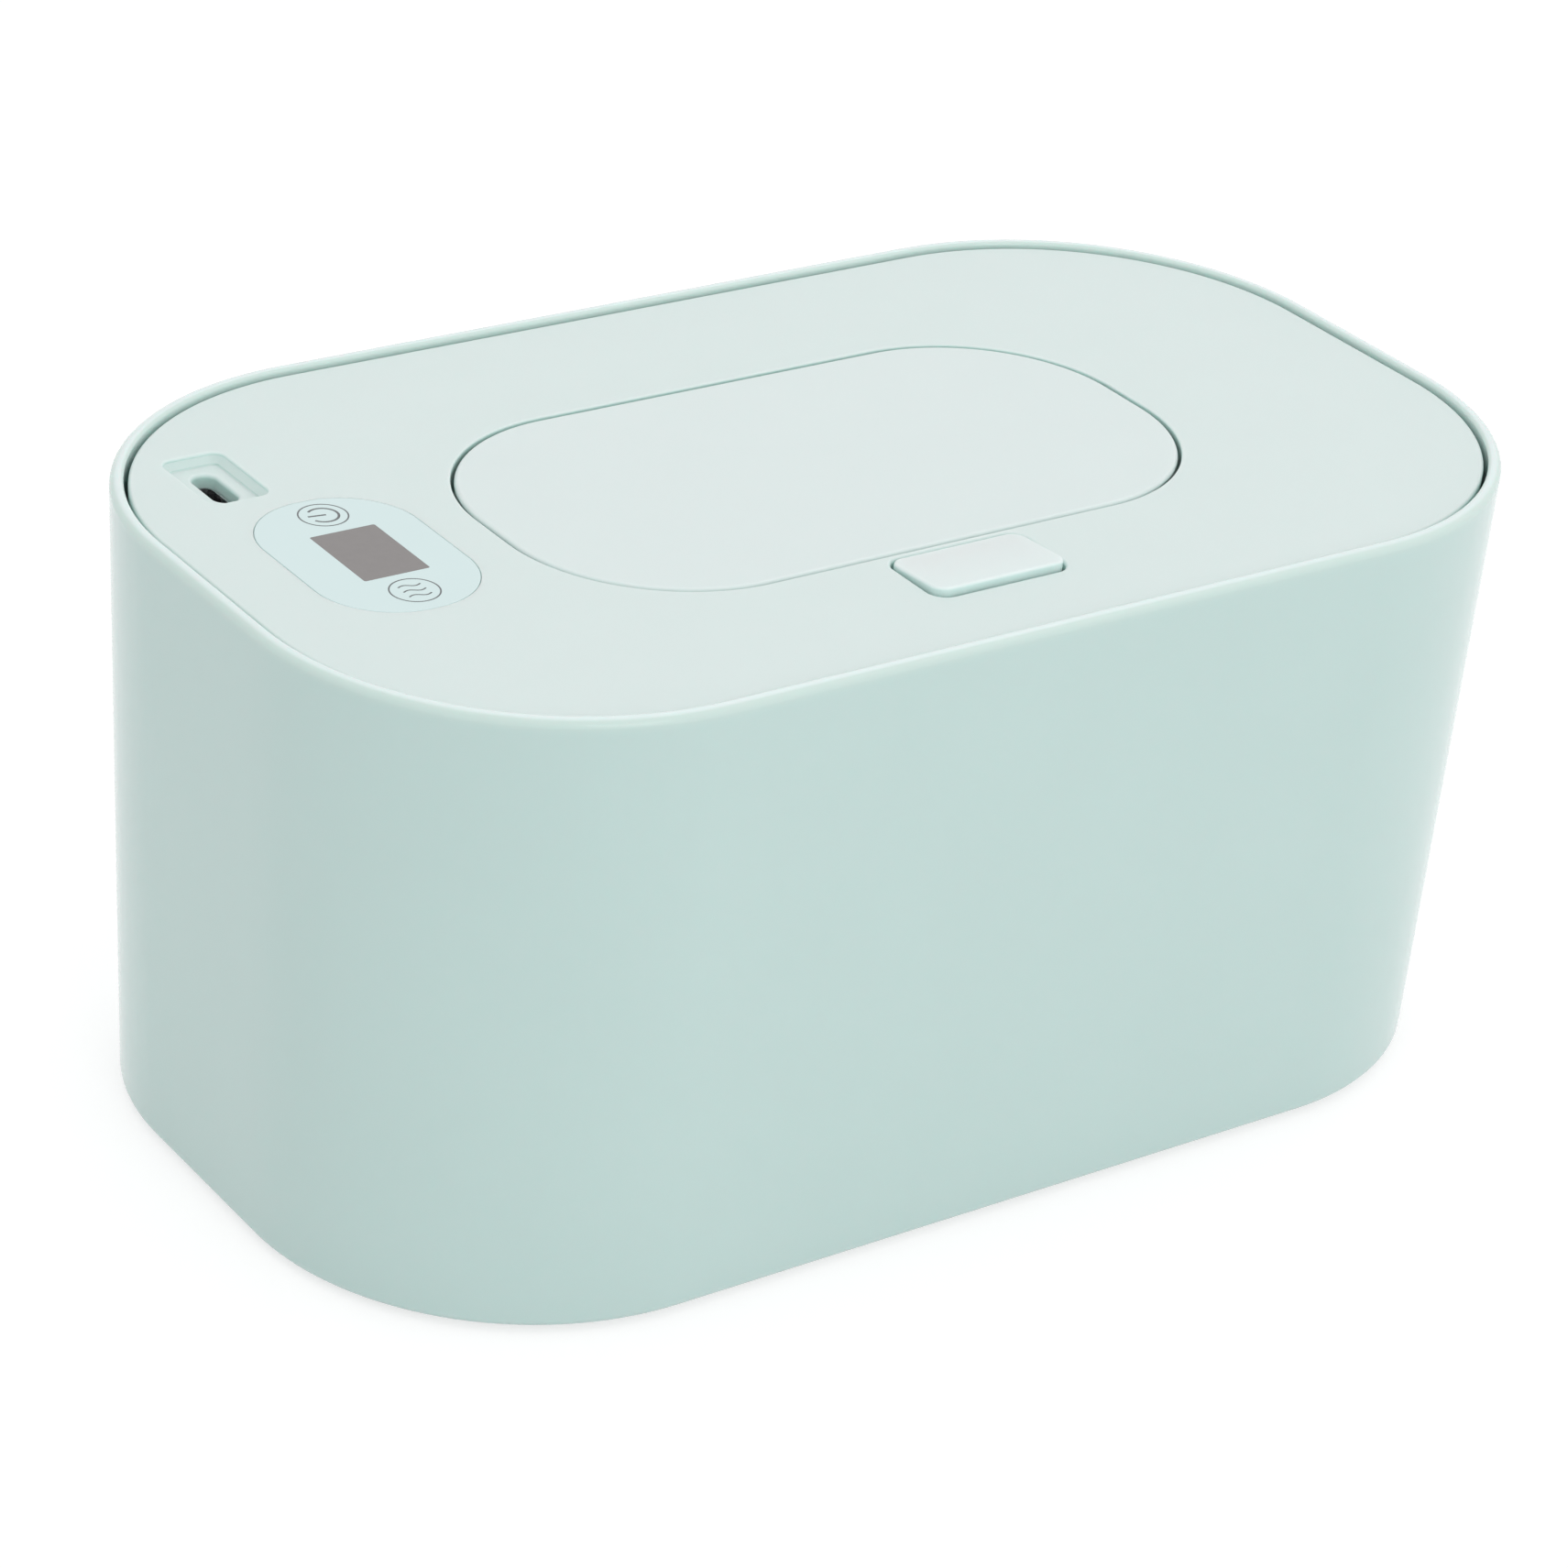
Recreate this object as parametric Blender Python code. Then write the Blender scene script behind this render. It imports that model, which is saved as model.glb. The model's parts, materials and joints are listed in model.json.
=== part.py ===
# Wipe warmer with a lift-off lid, a flip-up door and a push-button latch.
# Metres, +Z up, X along the length, -Y is the front with the button.
# The origin is under the middle of the body, on the surface it stands on.

import math

import bmesh
import bpy
from mathutils import Matrix, Vector

# Body, from the photograph's perspective and the usual size of such a product
shell_length = 0.2000
shell_width = 0.1192
shell_height = 0.09385
shell_corner_radius = 0.0451
shell_draft_inset = 0.0027
shell_wall = 0.0020
shell_floor = 0.0024
shell_rim_rounding = 0.0013
shell_rim_inner_rounding = 0.0004
shell_base_rounding = 0.0012
shell_inner_rounding = 0.0020

# Clearances
seat_gap = 0.0003
cut_overrun = 0.0010
joint_overlap = 0.0004

# Feet and base screws
foot_height = 0.0010
foot_radius = 0.0062
foot_seat_depth = 0.0009
foot_end_margin = 0.0250
foot_side_margin = 0.0266
base_screw_radius = 0.0015
base_screw_head_radius = 0.0029
base_screw_head_height = 0.0015
base_boss_radius = 0.0050
base_boss_height = 0.0056
base_head_seat = 0.0030

# Liner and its insulation
liner_standoff = 0.0038
liner_wall = 0.0015
liner_floor_thickness = 0.0015
liner_flange_thickness = 0.0016
liner_rounding = 0.0020
liner_boss_radius = 0.0045
flange_gap = 0.0004
wrap_thickness = 0.0030
wrap_end_margin = 0.0020

# Lid
lid_drop = 0.00077
lid_gap = 0.00057
lid_plate = 0.0020
lid_skirt_wall = 0.0016
lid_skirt_depth = 0.0168
lid_edge_rounding = 0.00035
lid_base_floor = 0.0020
lid_lip_height = 0.0030
lid_lip_thickness = 0.0014
lid_seal_width = 0.0026
lid_seal_height = 0.0012
lid_seal_margin = 0.0026

# Door
door_centre_x = -0.00095
door_centre_y = -0.00085
door_end_margin = 0.04595
door_side_margin = 0.0304
door_corner_radius = 0.0250
door_gap = 0.0005
door_thickness = 0.0018
door_rounding = 0.0005
recess_edge_rounding = 0.0003
door_land = 0.0006
door_bevel_inset = 0.0012
door_inner_thickness = 0.0012
door_inner_inset = 0.0020
door_seal_inset = 0.0044
door_seal_width = 0.0020
door_seal_height = 0.0010
door_ledge_thickness = 0.0015
recess_wall = 0.0015
well_inset = 0.0070
well_wall = 0.0014

# Goose-neck hinge
hinge_drop = 0.0050
hinge_setback = 0.0080
hinge_pin_radius = 0.0010
hinge_pin_overhang = 0.0012
arm_place_share = 0.7573
arm_width = 0.0060
arm_swing_clearance = 0.00047
arm_band = 0.0020
arm_web_half_width = 0.0012
arm_eye_radius = 0.0022
arm_root_length = 0.0022
arm_side_gap = 0.0004
ear_thickness = 0.0016
notch_clearance = 0.0006
web_angle = math.radians(-95)

# Torsion spring on the hinge pin
spring_wire = 0.0005
spring_mean_radius = 0.0019
spring_pitch = 0.0008
spring_turns = 4
spring_leg = 0.0062
spring_hook = 0.0034

# Push button and its pocket
button_side_step = 0.00015
button_door_distance = 0.00255
button_length = 0.0219
button_width = 0.0114
button_gap = 0.0004
button_corner_radius = 0.0022
button_proud = 0.0010
button_rounding = 0.0004
button_roof = 0.0014
button_skirt_wall = 0.0012
button_skirt_depth = 0.0045
button_travel = 0.0020
pocket_edge_rounding = 0.0005
pocket_wall = 0.0012
pocket_depth = 0.0069
barb_width = 0.0050
barb_reach = 0.0008
barb_height = 0.0010

# Latch slider under the button
slider_top_drop = 0.0083
slider_thickness = 0.0024
slider_length = 0.0084
slider_half_width = 0.0072
slider_front_step = 0.0028
slider_nose_half_width = 0.0030
slider_nose_clearance = 0.0004
ramp_height = 0.0030
ramp_width = 0.0026
ramp_set_in = 0.0002
ramp_set_back = 0.0010
ramp_engagement = 0.0007
rib_body_length = 0.0029
rib_slope_length = 0.0025
slider_rail = 0.0012
slider_rail_height = 0.0027
catch_width = 0.0060
catch_thickness = 0.0014
catch_hook_reach = 0.0014
catch_hook_height = 0.0013

# Return spring of the button
return_spring_wire = 0.0005
return_spring_radius = 0.00135
return_spring_turns = 5
return_spring_set_back = 0.0002
slider_slot_clearance = 0.0003

# Control panel
panel_end_distance = 0.0256
panel_plug_distance = 0.0042
panel_length_x = 0.02375
panel_length_y = 0.0361
panel_corner_radius = 0.0112
film_thickness = 0.0003
film_side_gap = 0.00012
display_step_x = 0.0005
display_step_y = 0.00015
display_length_x = 0.01006
display_length_y = 0.01487
display_corner_radius = 0.0006
display_frame = 0.0012
lens_thickness = 0.0010
power_key_step_x = 0.0007
power_key_step_y = 0.01301
set_key_step_x = 0.00015
set_key_step_y = 0.01235
touch_spring_top_radius = 0.0026
touch_spring_base_radius = 0.0017
touch_spring_wire = 0.0005
touch_spring_turns = 3

# Plug recess and socket
plug_end_distance = 0.0189
plug_back_distance = 0.0292
plug_recess_length_x = 0.0094
plug_recess_length_y = 0.0152
plug_recess_radius = 0.0018
plug_recess_depth = 0.0021
plug_recess_draft_inset = 0.0008
plug_recess_wall = 0.0012
plug_cup_floor = 0.0030
plug_edge_rounding = 0.0004
socket_slot_margin = 0.0003
socket_length = 0.00894
socket_width = 0.00326
socket_wall = 0.0003
socket_clearance = 0.0005
socket_drop = 0.0035
tongue_length = 0.0066
tongue_thickness = 0.0007
tongue_drop = 0.0010

# Circuit board
board_drop = 0.0102
board_thickness = 0.0016
board_plug_margin_x = 0.0038
board_panel_margin_x = 0.001525
board_key_margin_y = 0.0087
board_plug_margin_y = 0.0088
board_corner_radius = 0.0016
board_boss_radius = 0.0024
board_screw_radius = 0.0009
board_screw_head_radius = 0.0018
board_screw_head_height = 0.0012
board_screw_reach = 0.0060
board_screw_margin = 0.0030
board_screw_side_step = 0.00364
chip_length = 0.0080
chip_width = 0.0060
chip_height = 0.0016
chip_step_y = 0.00145

# Heater
heat_plate_end_margin = 0.0200
heat_plate_side_margin = 0.0166
heat_plate_corner_inset = 0.0121
heat_plate_thickness = 0.0010
heat_plate_hole_margin = 0.0014
heating_film_thickness = 0.0003
heating_film_inset = 0.0030
sensor_radius = 0.0022
sensor_height = 0.0050
sensor_end_distance = 0.0400
sensor_front_distance = 0.0316
lead_diameter = 0.0016
heater_lead_end_distance = 0.0360
heater_lead_back_distance = 0.0346
lead_start_step = 0.0064
lead_samples = 11

# Lid screws
lid_screw_end_distance = 0.0115
lid_screw_corner_distance = 0.0500
lid_screw_side_distance = 0.0121
lid_screw_radius = 0.0013
lid_screw_head_radius = 0.0025
lid_screw_head_height = 0.0013
lid_screw_reach = 0.0080
lid_boss_radius = 0.0033

# Slot under every screw head, as a share of the head
screw_slot_share = 0.45

# Numbers of steps round the curved forms
corner_steps = 9
small_corner_steps = 4
round_sides = 16
small_round_sides = 10
wire_sides = 6
lead_sides = 8
coil_steps = 8
swing_steps = 8
fillet_steps = 3
sharp_angle = math.radians(35)

# Least and greatest corner radius of an outline, as shares of half its shorter side
least_corner_share = 0.002
greatest_corner_share = 0.98

# Places that follow from the body's length and width, and from their neighbours
half_length = shell_length / 2
half_width = shell_width / 2
foot_place_x = half_length - foot_end_margin
foot_place_y = half_width - foot_side_margin
door_length = shell_length - 2 * door_end_margin
door_width = shell_width - 2 * door_side_margin
door_back_half = door_length / 2 - door_corner_radius
arm_place = door_back_half * arm_place_share
door_front_y = door_centre_y - door_width / 2
button_centre_x = door_centre_x + button_side_step
button_centre_y = door_front_y - button_door_distance - button_width / 2
slider_front_y = button_centre_y - slider_front_step
plug_recess_x = plug_end_distance - half_length
plug_recess_y = half_width - plug_back_distance
plug_front_y = plug_recess_y - plug_recess_length_y / 2
panel_centre_x = panel_end_distance - half_length
panel_centre_y = plug_front_y - panel_plug_distance - panel_length_y / 2
display_centre_x = panel_centre_x + display_step_x
display_centre_y = panel_centre_y + display_step_y
power_key_x = panel_centre_x + power_key_step_x
power_key_y = panel_centre_y + power_key_step_y
set_key_x = panel_centre_x + set_key_step_x
set_key_y = panel_centre_y - set_key_step_y
board_low_x = plug_recess_x - board_plug_margin_x
board_high_x = panel_centre_x + panel_length_x / 2 + board_panel_margin_x
board_low_y = set_key_y - board_key_margin_y
board_high_y = plug_recess_y + board_plug_margin_y
board_screw_side_y = power_key_y + board_screw_side_step
chip_place_y = panel_centre_y + chip_step_y
heat_plate_length = shell_length - 2 * heat_plate_end_margin
heat_plate_width = shell_width - 2 * heat_plate_side_margin
heat_plate_radius = shell_corner_radius - heat_plate_corner_inset
sensor_place_x = sensor_end_distance - half_length
sensor_place_y = sensor_front_distance - half_width
heater_lead_hole_x = heater_lead_end_distance - half_length
heater_lead_hole_y = half_width - heater_lead_back_distance
lead_start_x = panel_centre_x + lead_start_step
lid_screw_side_x = half_length - lid_screw_end_distance
lid_screw_end_x = half_length - lid_screw_corner_distance
lid_screw_end_y = half_width - lid_screw_side_distance

# Heights that follow from the sizes above
base_z = foot_height
rim_z = base_z + shell_height
lid_z = rim_z - lid_drop
inner_floor_z = base_z + shell_floor
foot_seat_z = base_z + foot_seat_depth
skirt_low_z = lid_z - lid_skirt_depth
lid_base_top_z = skirt_low_z - seat_gap
lid_base_low_z = lid_base_top_z - lid_base_floor
seal_top_z = lid_base_low_z - seat_gap
flange_top_z = seal_top_z - lid_seal_height - seat_gap
base_boss_top_z = inner_floor_z + base_boss_height
liner_boss_low_z = base_boss_top_z + seat_gap
liner_low_z = inner_floor_z + base_boss_height + liner_standoff
liner_floor_z = liner_low_z + liner_floor_thickness
ledge_top_z = lid_z - door_thickness - door_inner_thickness - door_seal_height - 3 * seat_gap
ledge_low_z = ledge_top_z - door_ledge_thickness
door_inner_top_z = lid_z - door_thickness - seat_gap
door_inner_low_z = door_inner_top_z - door_inner_thickness
board_top_z = lid_z - board_drop
board_low_z = board_top_z - board_thickness
slider_top_z = lid_z - slider_top_drop
slider_low_z = slider_top_z - slider_thickness
guide_top_z = slider_low_z - seat_gap
pocket_low_z = lid_z - pocket_depth

# Hinge places that follow from the sizes above
recess_back_y = door_centre_y + door_width / 2 + door_gap
hinge_y = recess_back_y + hinge_setback
hinge_z = lid_z - hinge_drop
plate_corner_reach = math.hypot(hinge_setback, hinge_drop)
arm_inner_radius = plate_corner_reach + arm_swing_clearance
arm_outer_radius = arm_inner_radius + arm_band
hinge_hole_radius = hinge_pin_radius + seat_gap
ear_radius = arm_eye_radius + joint_overlap / 2

# Button and latch places that follow from the sizes above
pocket_length = button_length + 2 * button_gap
pocket_width = button_width + 2 * button_gap
cap_top_z = lid_z + button_proud
roof_low_z = cap_top_z - button_roof
slider_back_y = slider_front_y + slider_length
ramp_front_y = slider_front_y + ramp_set_back
ramp_top_z = slider_top_z + ramp_height
ramp_mid_x = slider_half_width - ramp_set_in - ramp_width / 2
catch_front_y = door_front_y + door_inner_inset + seat_gap / 2
catch_hook_front_y = catch_front_y - catch_hook_reach
catch_low_z = slider_low_z - seat_gap - catch_hook_height
hook_top_z = slider_low_z - seat_gap
catch_x = door_centre_x


def remove_everything():
    for old in list(bpy.data.objects):
        bpy.data.objects.remove(old)


def principled(name, colour, roughness, metallic=0.0, alpha=1.0):
    """A Principled material in linear colour."""
    material = bpy.data.materials.new(name)
    material.use_nodes = True
    shader = material.node_tree.nodes["Principled BSDF"]
    shader.inputs["Base Color"].default_value = (*colour, 1.0)
    shader.inputs["Roughness"].default_value = roughness
    shader.inputs["Metallic"].default_value = metallic
    shader.inputs["Alpha"].default_value = alpha
    material.diffuse_color = (*colour, alpha)
    return material


def empty(name, place, parent=None):
    """An empty on a joint's axis, which carries the pieces that move there."""
    holder = bpy.data.objects.new(name, None)
    bpy.context.scene.collection.objects.link(holder)
    holder.parent = parent
    holder.location = place - (world_place(parent) if parent else Vector())
    return holder


def world_place(obj):
    place = obj.location.copy()
    while obj.parent:
        obj = obj.parent
        place += obj.location
    return place


def node(name, mesh, material, parent, place):
    """One piece: its mesh is modelled in place, then given its own origin at place."""
    mesh.transform(Matrix.Translation(-place))
    mesh.materials.clear()
    mesh.materials.append(material)
    return placed(name, mesh, parent, place)


def placed(name, mesh, parent, place):
    piece = bpy.data.objects.new(name, mesh)
    bpy.context.scene.collection.objects.link(piece)
    piece.parent = parent
    piece.location = place - world_place(parent)
    return piece


def finished_mesh(shape, name="shape"):
    bmesh.ops.recalc_face_normals(shape, faces=shape.faces)
    mesh = bpy.data.meshes.new(name)
    shape.to_mesh(mesh)
    shape.free()
    mesh.shade_smooth()
    mesh.set_sharp_from_angle(angle=sharp_angle)
    return mesh


def outline(length, width, radius, offset=0.0, centre=(0.0, 0.0), steps=corner_steps):
    """Points of a rounded rectangle moved outwards by offset, anticlockwise from above."""
    half_side = min(length, width) / 2 + offset
    grown = min(radius + offset, half_side * greatest_corner_share)
    grown = max(grown, half_side * least_corner_share)
    reach_x = length / 2 + offset - grown
    reach_y = width / 2 + offset - grown
    points = []
    for corner, (side_x, side_y) in enumerate(((1, 1), (-1, 1), (-1, -1), (1, -1))):
        for step in range(steps + 1):
            angle = math.pi / 2 * (corner + step / steps)
            x = centre[0] + side_x * reach_x + grown * math.cos(angle)
            y = centre[1] + side_y * reach_y + grown * math.sin(angle)
            points.append((x, y))
    return points


def shell_outline(z, inset):
    """The body's outside at height z, moved inwards: the body narrows towards its base."""
    draft = shell_draft_inset * (rim_z - z) / shell_height
    return outline(shell_length, shell_width, shell_corner_radius, -inset - draft)


def door_outline(offset):
    return outline(
        door_length, door_width, door_corner_radius, offset, (door_centre_x, door_centre_y)
    )


def loft(levels, ring):
    """A solid through level outlines of equal count: a ring joins last to first, a cup is capped."""
    shape = bmesh.new()
    rows = [[shape.verts.new((x, y, z)) for x, y in points] for points, z in levels]
    pairs = list(zip(rows, rows[1:]))
    if ring:
        pairs.append((rows[-1], rows[0]))
    for low, high in pairs:
        for index in range(len(low)):
            follower = (index + 1) % len(low)
            shape.faces.new((low[index], low[follower], high[follower], high[index]))
    if not ring:
        shape.faces.new(rows[0])
        shape.faces.new(rows[-1])
    return shape


def prism(points, low, high, axis="Z"):
    """An outline pushed along an axis: (x, y) along Z, or (y, z) along X."""
    if axis == "Z":
        return loft([(points, low), (points, high)], ring=False)
    shape = bmesh.new()
    near = [shape.verts.new((low, y, z)) for y, z in points]
    far = [shape.verts.new((high, y, z)) for y, z in points]
    for index in range(len(points)):
        follower = (index + 1) % len(points)
        shape.faces.new((near[index], near[follower], far[follower], far[index]))
    shape.faces.new(near)
    shape.faces.new(far)
    return shape


def block(low, high):
    """A box between two opposite corners."""
    corners = [(low[0], low[1]), (high[0], low[1]), (high[0], high[1]), (low[0], high[1])]
    return prism(corners, low[2], high[2])


def circle(centre, radius, sides=round_sides):
    return [
        (
            centre[0] + radius * math.cos(math.tau * side / sides),
            centre[1] + radius * math.sin(math.tau * side / sides),
        )
        for side in range(sides)
    ]


def rod(centre, radius, low, high, sides=small_round_sides, axis="Z"):
    return prism(circle(centre, radius, sides), low, high, axis)


def quarter_round(radius):
    """Steps of a rounded edge, from the flat to the wall: inset from the wall, distance from the flat."""
    angles = [math.pi / 2 * step / fillet_steps for step in range(fillet_steps + 1)]
    return [(radius * (1 - math.sin(angle)), radius * (1 - math.cos(angle))) for angle in angles]


def joined(shapes):
    """Several separate shapes in one mesh, to be used as one cutter or one addition."""
    whole = bmesh.new()
    for shape in shapes:
        bmesh.ops.recalc_face_normals(shape, faces=shape.faces)
        part_mesh = bpy.data.meshes.new("part")
        shape.to_mesh(part_mesh)
        shape.free()
        whole.from_mesh(part_mesh)
        bpy.data.meshes.remove(part_mesh)
    return whole


def combined(shape, others, operation):
    """Exact union with, or difference from, a list of shapes."""
    meshes = []
    for source in (joined([shape]), joined(others)):
        mesh = bpy.data.meshes.new("operand")
        source.to_mesh(mesh)
        source.free()
        meshes.append(mesh)
    base, tool = (bpy.data.objects.new("operand", mesh) for mesh in meshes)
    for operand in (base, tool):
        bpy.context.scene.collection.objects.link(operand)
    modifier = base.modifiers.new("combine", "BOOLEAN")
    modifier.operation = operation
    modifier.solver = "EXACT"
    modifier.use_self = True
    modifier.object = tool
    bpy.context.view_layer.update()
    evaluated = base.evaluated_get(bpy.context.evaluated_depsgraph_get())
    result = bmesh.new()
    result.from_mesh(evaluated.to_mesh())
    evaluated.to_mesh_clear()
    for operand in (base, tool):
        bpy.data.objects.remove(operand)
    for mesh in meshes:
        bpy.data.meshes.remove(mesh)
    return result


def with_added(shape, others):
    return combined(shape, others, "UNION")


def with_cut(shape, others):
    return combined(shape, others, "DIFFERENCE")


def wire(name, path, diameter, material, parent, sides):
    """A round wire along a path, as a curve with filled caps."""
    curve = bpy.data.curves.new(name, "CURVE")
    curve.dimensions = "3D"
    curve.bevel_depth = diameter / 2
    curve.bevel_resolution = (sides - 4) // 2
    curve.use_fill_caps = True
    spline = curve.splines.new("POLY")
    spline.points.add(len(path) - 1)
    origin = path[0]
    for point, place in zip(spline.points, path):
        point.co = (*(place - origin), 1.0)
    curve.materials.append(material)
    return placed(name, curve, parent, origin)


def helix(centre, radii, low, high, turns, axis="Z"):
    """Points of a coil whose radius runs evenly from the first value to the second."""
    count = turns * coil_steps
    points = []
    for index in range(count + 1):
        share = index / count
        radius = radii[0] + (radii[1] - radii[0]) * share
        angle = math.tau * index / coil_steps
        along = low + (high - low) * share
        across = (radius * math.cos(angle), radius * math.sin(angle))
        if axis == "Z":
            points.append(Vector((centre[0] + across[0], centre[1] + across[1], along)))
        else:
            points.append(Vector((along, centre[0] + across[0], centre[1] + across[1])))
    return points


def smooth_route(points, samples):
    """Points read from one smooth curve through the route's own points."""
    route = [points[0]] + list(points) + [points[-1]]
    spans = len(points) - 1
    smooth = []
    for index in range(samples):
        along = spans * index / (samples - 1)
        span = min(int(along), spans - 1)
        t = along - span
        before, start, end, after = route[span : span + 4]
        place = start * 2 + (end - before) * t
        place += (before * 2 - start * 5 + end * 4 - after) * t**2
        place += (start * 3 - before - end * 3 + after) * t**3
        smooth.append(place / 2)
    return smooth


def screw_mesh(head_radius, head_height, shaft_radius, shaft_length):
    """A screw that points up: head below its origin, shaft above, with a slot under the head."""
    slot_half = head_radius * screw_slot_share / 2
    shape = with_added(
        rod((0.0, 0.0), head_radius, -head_height, 0.0),
        [rod((0.0, 0.0), shaft_radius, -head_height / 2, shaft_length)],
    )
    slot = block(
        (-head_radius - cut_overrun, -slot_half, -head_height - cut_overrun),
        (head_radius + cut_overrun, slot_half, -head_height * (1 - screw_slot_share)),
    )
    return finished_mesh(with_cut(shape, [slot]), "screw")


def foot_places():
    places = []
    for side_x, side_y in ((-1, -1), (1, -1), (1, 1), (-1, 1)):
        places.append((side_x * foot_place_x, side_y * foot_place_y))
    return places


def lid_screw_places():
    places = [(-lid_screw_side_x, 0.0), (lid_screw_side_x, 0.0)]
    for side_x, side_y in ((-1, -1), (1, -1), (1, 1), (-1, 1)):
        places.append((side_x * lid_screw_end_x, side_y * lid_screw_end_y))
    return places


def board_screw_places():
    low_x = board_low_x + board_screw_margin
    high_x = board_high_x - board_screw_margin
    low_y = board_low_y + board_screw_margin
    high_y = board_high_y - board_screw_margin
    return [(low_x, low_y), (high_x, low_y), (high_x, high_y), (low_x, board_screw_side_y)]


def outer_shell(material, parent):
    """Drafted tub with a rounded rim, seats for the feet and four screw bosses."""
    levels = []
    for inset, rise in quarter_round(shell_base_rounding):
        levels.append((shell_outline(base_z + rise, inset), base_z + rise))
    for inset, drop in reversed(quarter_round(shell_rim_rounding)):
        levels.append((shell_outline(rim_z - drop, inset), rim_z - drop))
    edge_z = rim_z - shell_rim_inner_rounding
    levels.append((shell_outline(rim_z, shell_wall - shell_rim_inner_rounding), rim_z))
    levels.append((shell_outline(edge_z, shell_wall), edge_z))
    for inset, rise in reversed(quarter_round(shell_inner_rounding)):
        z = inner_floor_z + rise
        levels.append((shell_outline(z, shell_wall + inset), z))
    shape = loft(levels, ring=False)
    bosses = []
    cuts = []
    for place in foot_places():
        bosses.append(rod(place, base_boss_radius, inner_floor_z - joint_overlap, base_boss_top_z))
        seat_radius = foot_radius + seat_gap
        cuts.append(rod(place, seat_radius, base_z - cut_overrun, foot_seat_z, round_sides))
        head_radius = base_screw_head_radius + seat_gap
        cuts.append(rod(place, head_radius, foot_seat_z - joint_overlap, base_z + base_head_seat))
        hole_radius = base_screw_radius + seat_gap
        hole_low_z = base_z + base_head_seat - joint_overlap
        cuts.append(rod(place, hole_radius, hole_low_z, base_boss_top_z + cut_overrun))
    shape = with_cut(with_added(shape, bosses), cuts)
    node("outer_shell", finished_mesh(shape), material, parent, Vector())


def feet(pad_material, screw_material, parent):
    top_z = foot_seat_z - seat_gap
    pad = finished_mesh(
        loft(
            [
                (circle((0.0, 0.0), foot_radius - joint_overlap), 0.0),
                (circle((0.0, 0.0), foot_radius), joint_overlap),
                (circle((0.0, 0.0), foot_radius), top_z),
            ],
            ring=False,
        ),
        "foot",
    )
    pad.materials.append(pad_material)
    head_top_z = base_z + base_head_seat - seat_gap
    hole_end_z = liner_floor_z - liner_floor_thickness / 2
    screw = screw_mesh(
        base_screw_head_radius,
        base_screw_head_height,
        base_screw_radius,
        hole_end_z - seat_gap - head_top_z,
    )
    screw.materials.append(screw_material)
    for number, (x, y) in enumerate(foot_places(), start=1):
        placed(f"foot_{number}", pad, parent, Vector((x, y, 0.0)))
        placed(f"base_screw_{number}", screw, parent, Vector((x, y, head_top_z)))


def inner_tub(material, parent):
    """The liner that holds the wipes, with a flange that carries the lid."""
    outer_inset = shell_wall + flange_gap + wrap_thickness + flange_gap
    inner_inset = outer_inset + liner_wall
    flange_low_z = flange_top_z - liner_flange_thickness
    levels = []
    for inset, rise in quarter_round(liner_rounding):
        levels.append((shell_outline(liner_low_z + rise, outer_inset + inset), liner_low_z + rise))
    levels.append((shell_outline(flange_low_z, outer_inset), flange_low_z))
    levels.append((shell_outline(flange_low_z, shell_wall + flange_gap), flange_low_z))
    levels.append((shell_outline(flange_top_z, shell_wall + flange_gap), flange_top_z))
    levels.append((shell_outline(flange_top_z, inner_inset), flange_top_z))
    wall_low_z = liner_floor_z + liner_rounding
    levels.append((shell_outline(wall_low_z, inner_inset), wall_low_z))
    levels.append((shell_outline(liner_floor_z, inner_inset + liner_rounding), liner_floor_z))
    shape = loft(levels, ring=False)
    hole_end_z = liner_floor_z - liner_floor_thickness / 2
    bosses = [
        rod(place, liner_boss_radius, liner_boss_low_z, liner_low_z + joint_overlap)
        for place in foot_places()
    ]
    holes = [
        rod(place, base_screw_radius + seat_gap, liner_boss_low_z - cut_overrun, hole_end_z)
        for place in foot_places()
    ]
    shape = with_cut(with_added(shape, bosses), holes)
    node("inner_tub", finished_mesh(shape), material, parent, Vector())


def insulation_wrap(material, parent):
    inset = shell_wall + flange_gap
    low_z = liner_low_z + liner_rounding
    high_z = flange_top_z - liner_flange_thickness - wrap_end_margin
    levels = [
        (shell_outline(low_z, inset), low_z),
        (shell_outline(high_z, inset), high_z),
        (shell_outline(high_z, inset + wrap_thickness), high_z),
        (shell_outline(low_z, inset + wrap_thickness), low_z),
    ]
    node("insulation_wrap", finished_mesh(loft(levels, ring=True)), material, parent, Vector())


def lid_outline(z, inset):
    """The lid's outside: it follows the inside of the body with an even gap."""
    return shell_outline(z, shell_wall + lid_gap + inset)


def panel_outline(offset):
    return outline(
        panel_length_x,
        panel_length_y,
        panel_corner_radius,
        offset,
        (panel_centre_x, panel_centre_y),
    )


def display_outline(offset):
    return outline(
        display_length_x,
        display_length_y,
        display_corner_radius,
        offset,
        (display_centre_x, display_centre_y),
        small_corner_steps,
    )


def plug_outline(offset):
    return outline(
        plug_recess_length_x,
        plug_recess_length_y,
        plug_recess_radius,
        offset,
        (plug_recess_x, plug_recess_y),
        small_corner_steps,
    )


def socket_outline(offset):
    return outline(
        socket_width,
        socket_length,
        socket_width / 2,
        offset,
        (plug_recess_x, plug_recess_y),
        small_corner_steps,
    )


def pocket_outline(offset):
    return outline(
        pocket_length,
        pocket_width,
        button_corner_radius + button_gap,
        offset,
        (button_centre_x, button_centre_y),
        small_corner_steps,
    )


def button_outline(offset):
    return pocket_outline(offset - button_gap)


def arm_middles():
    return [door_centre_x - arm_place, door_centre_x + arm_place]


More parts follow.
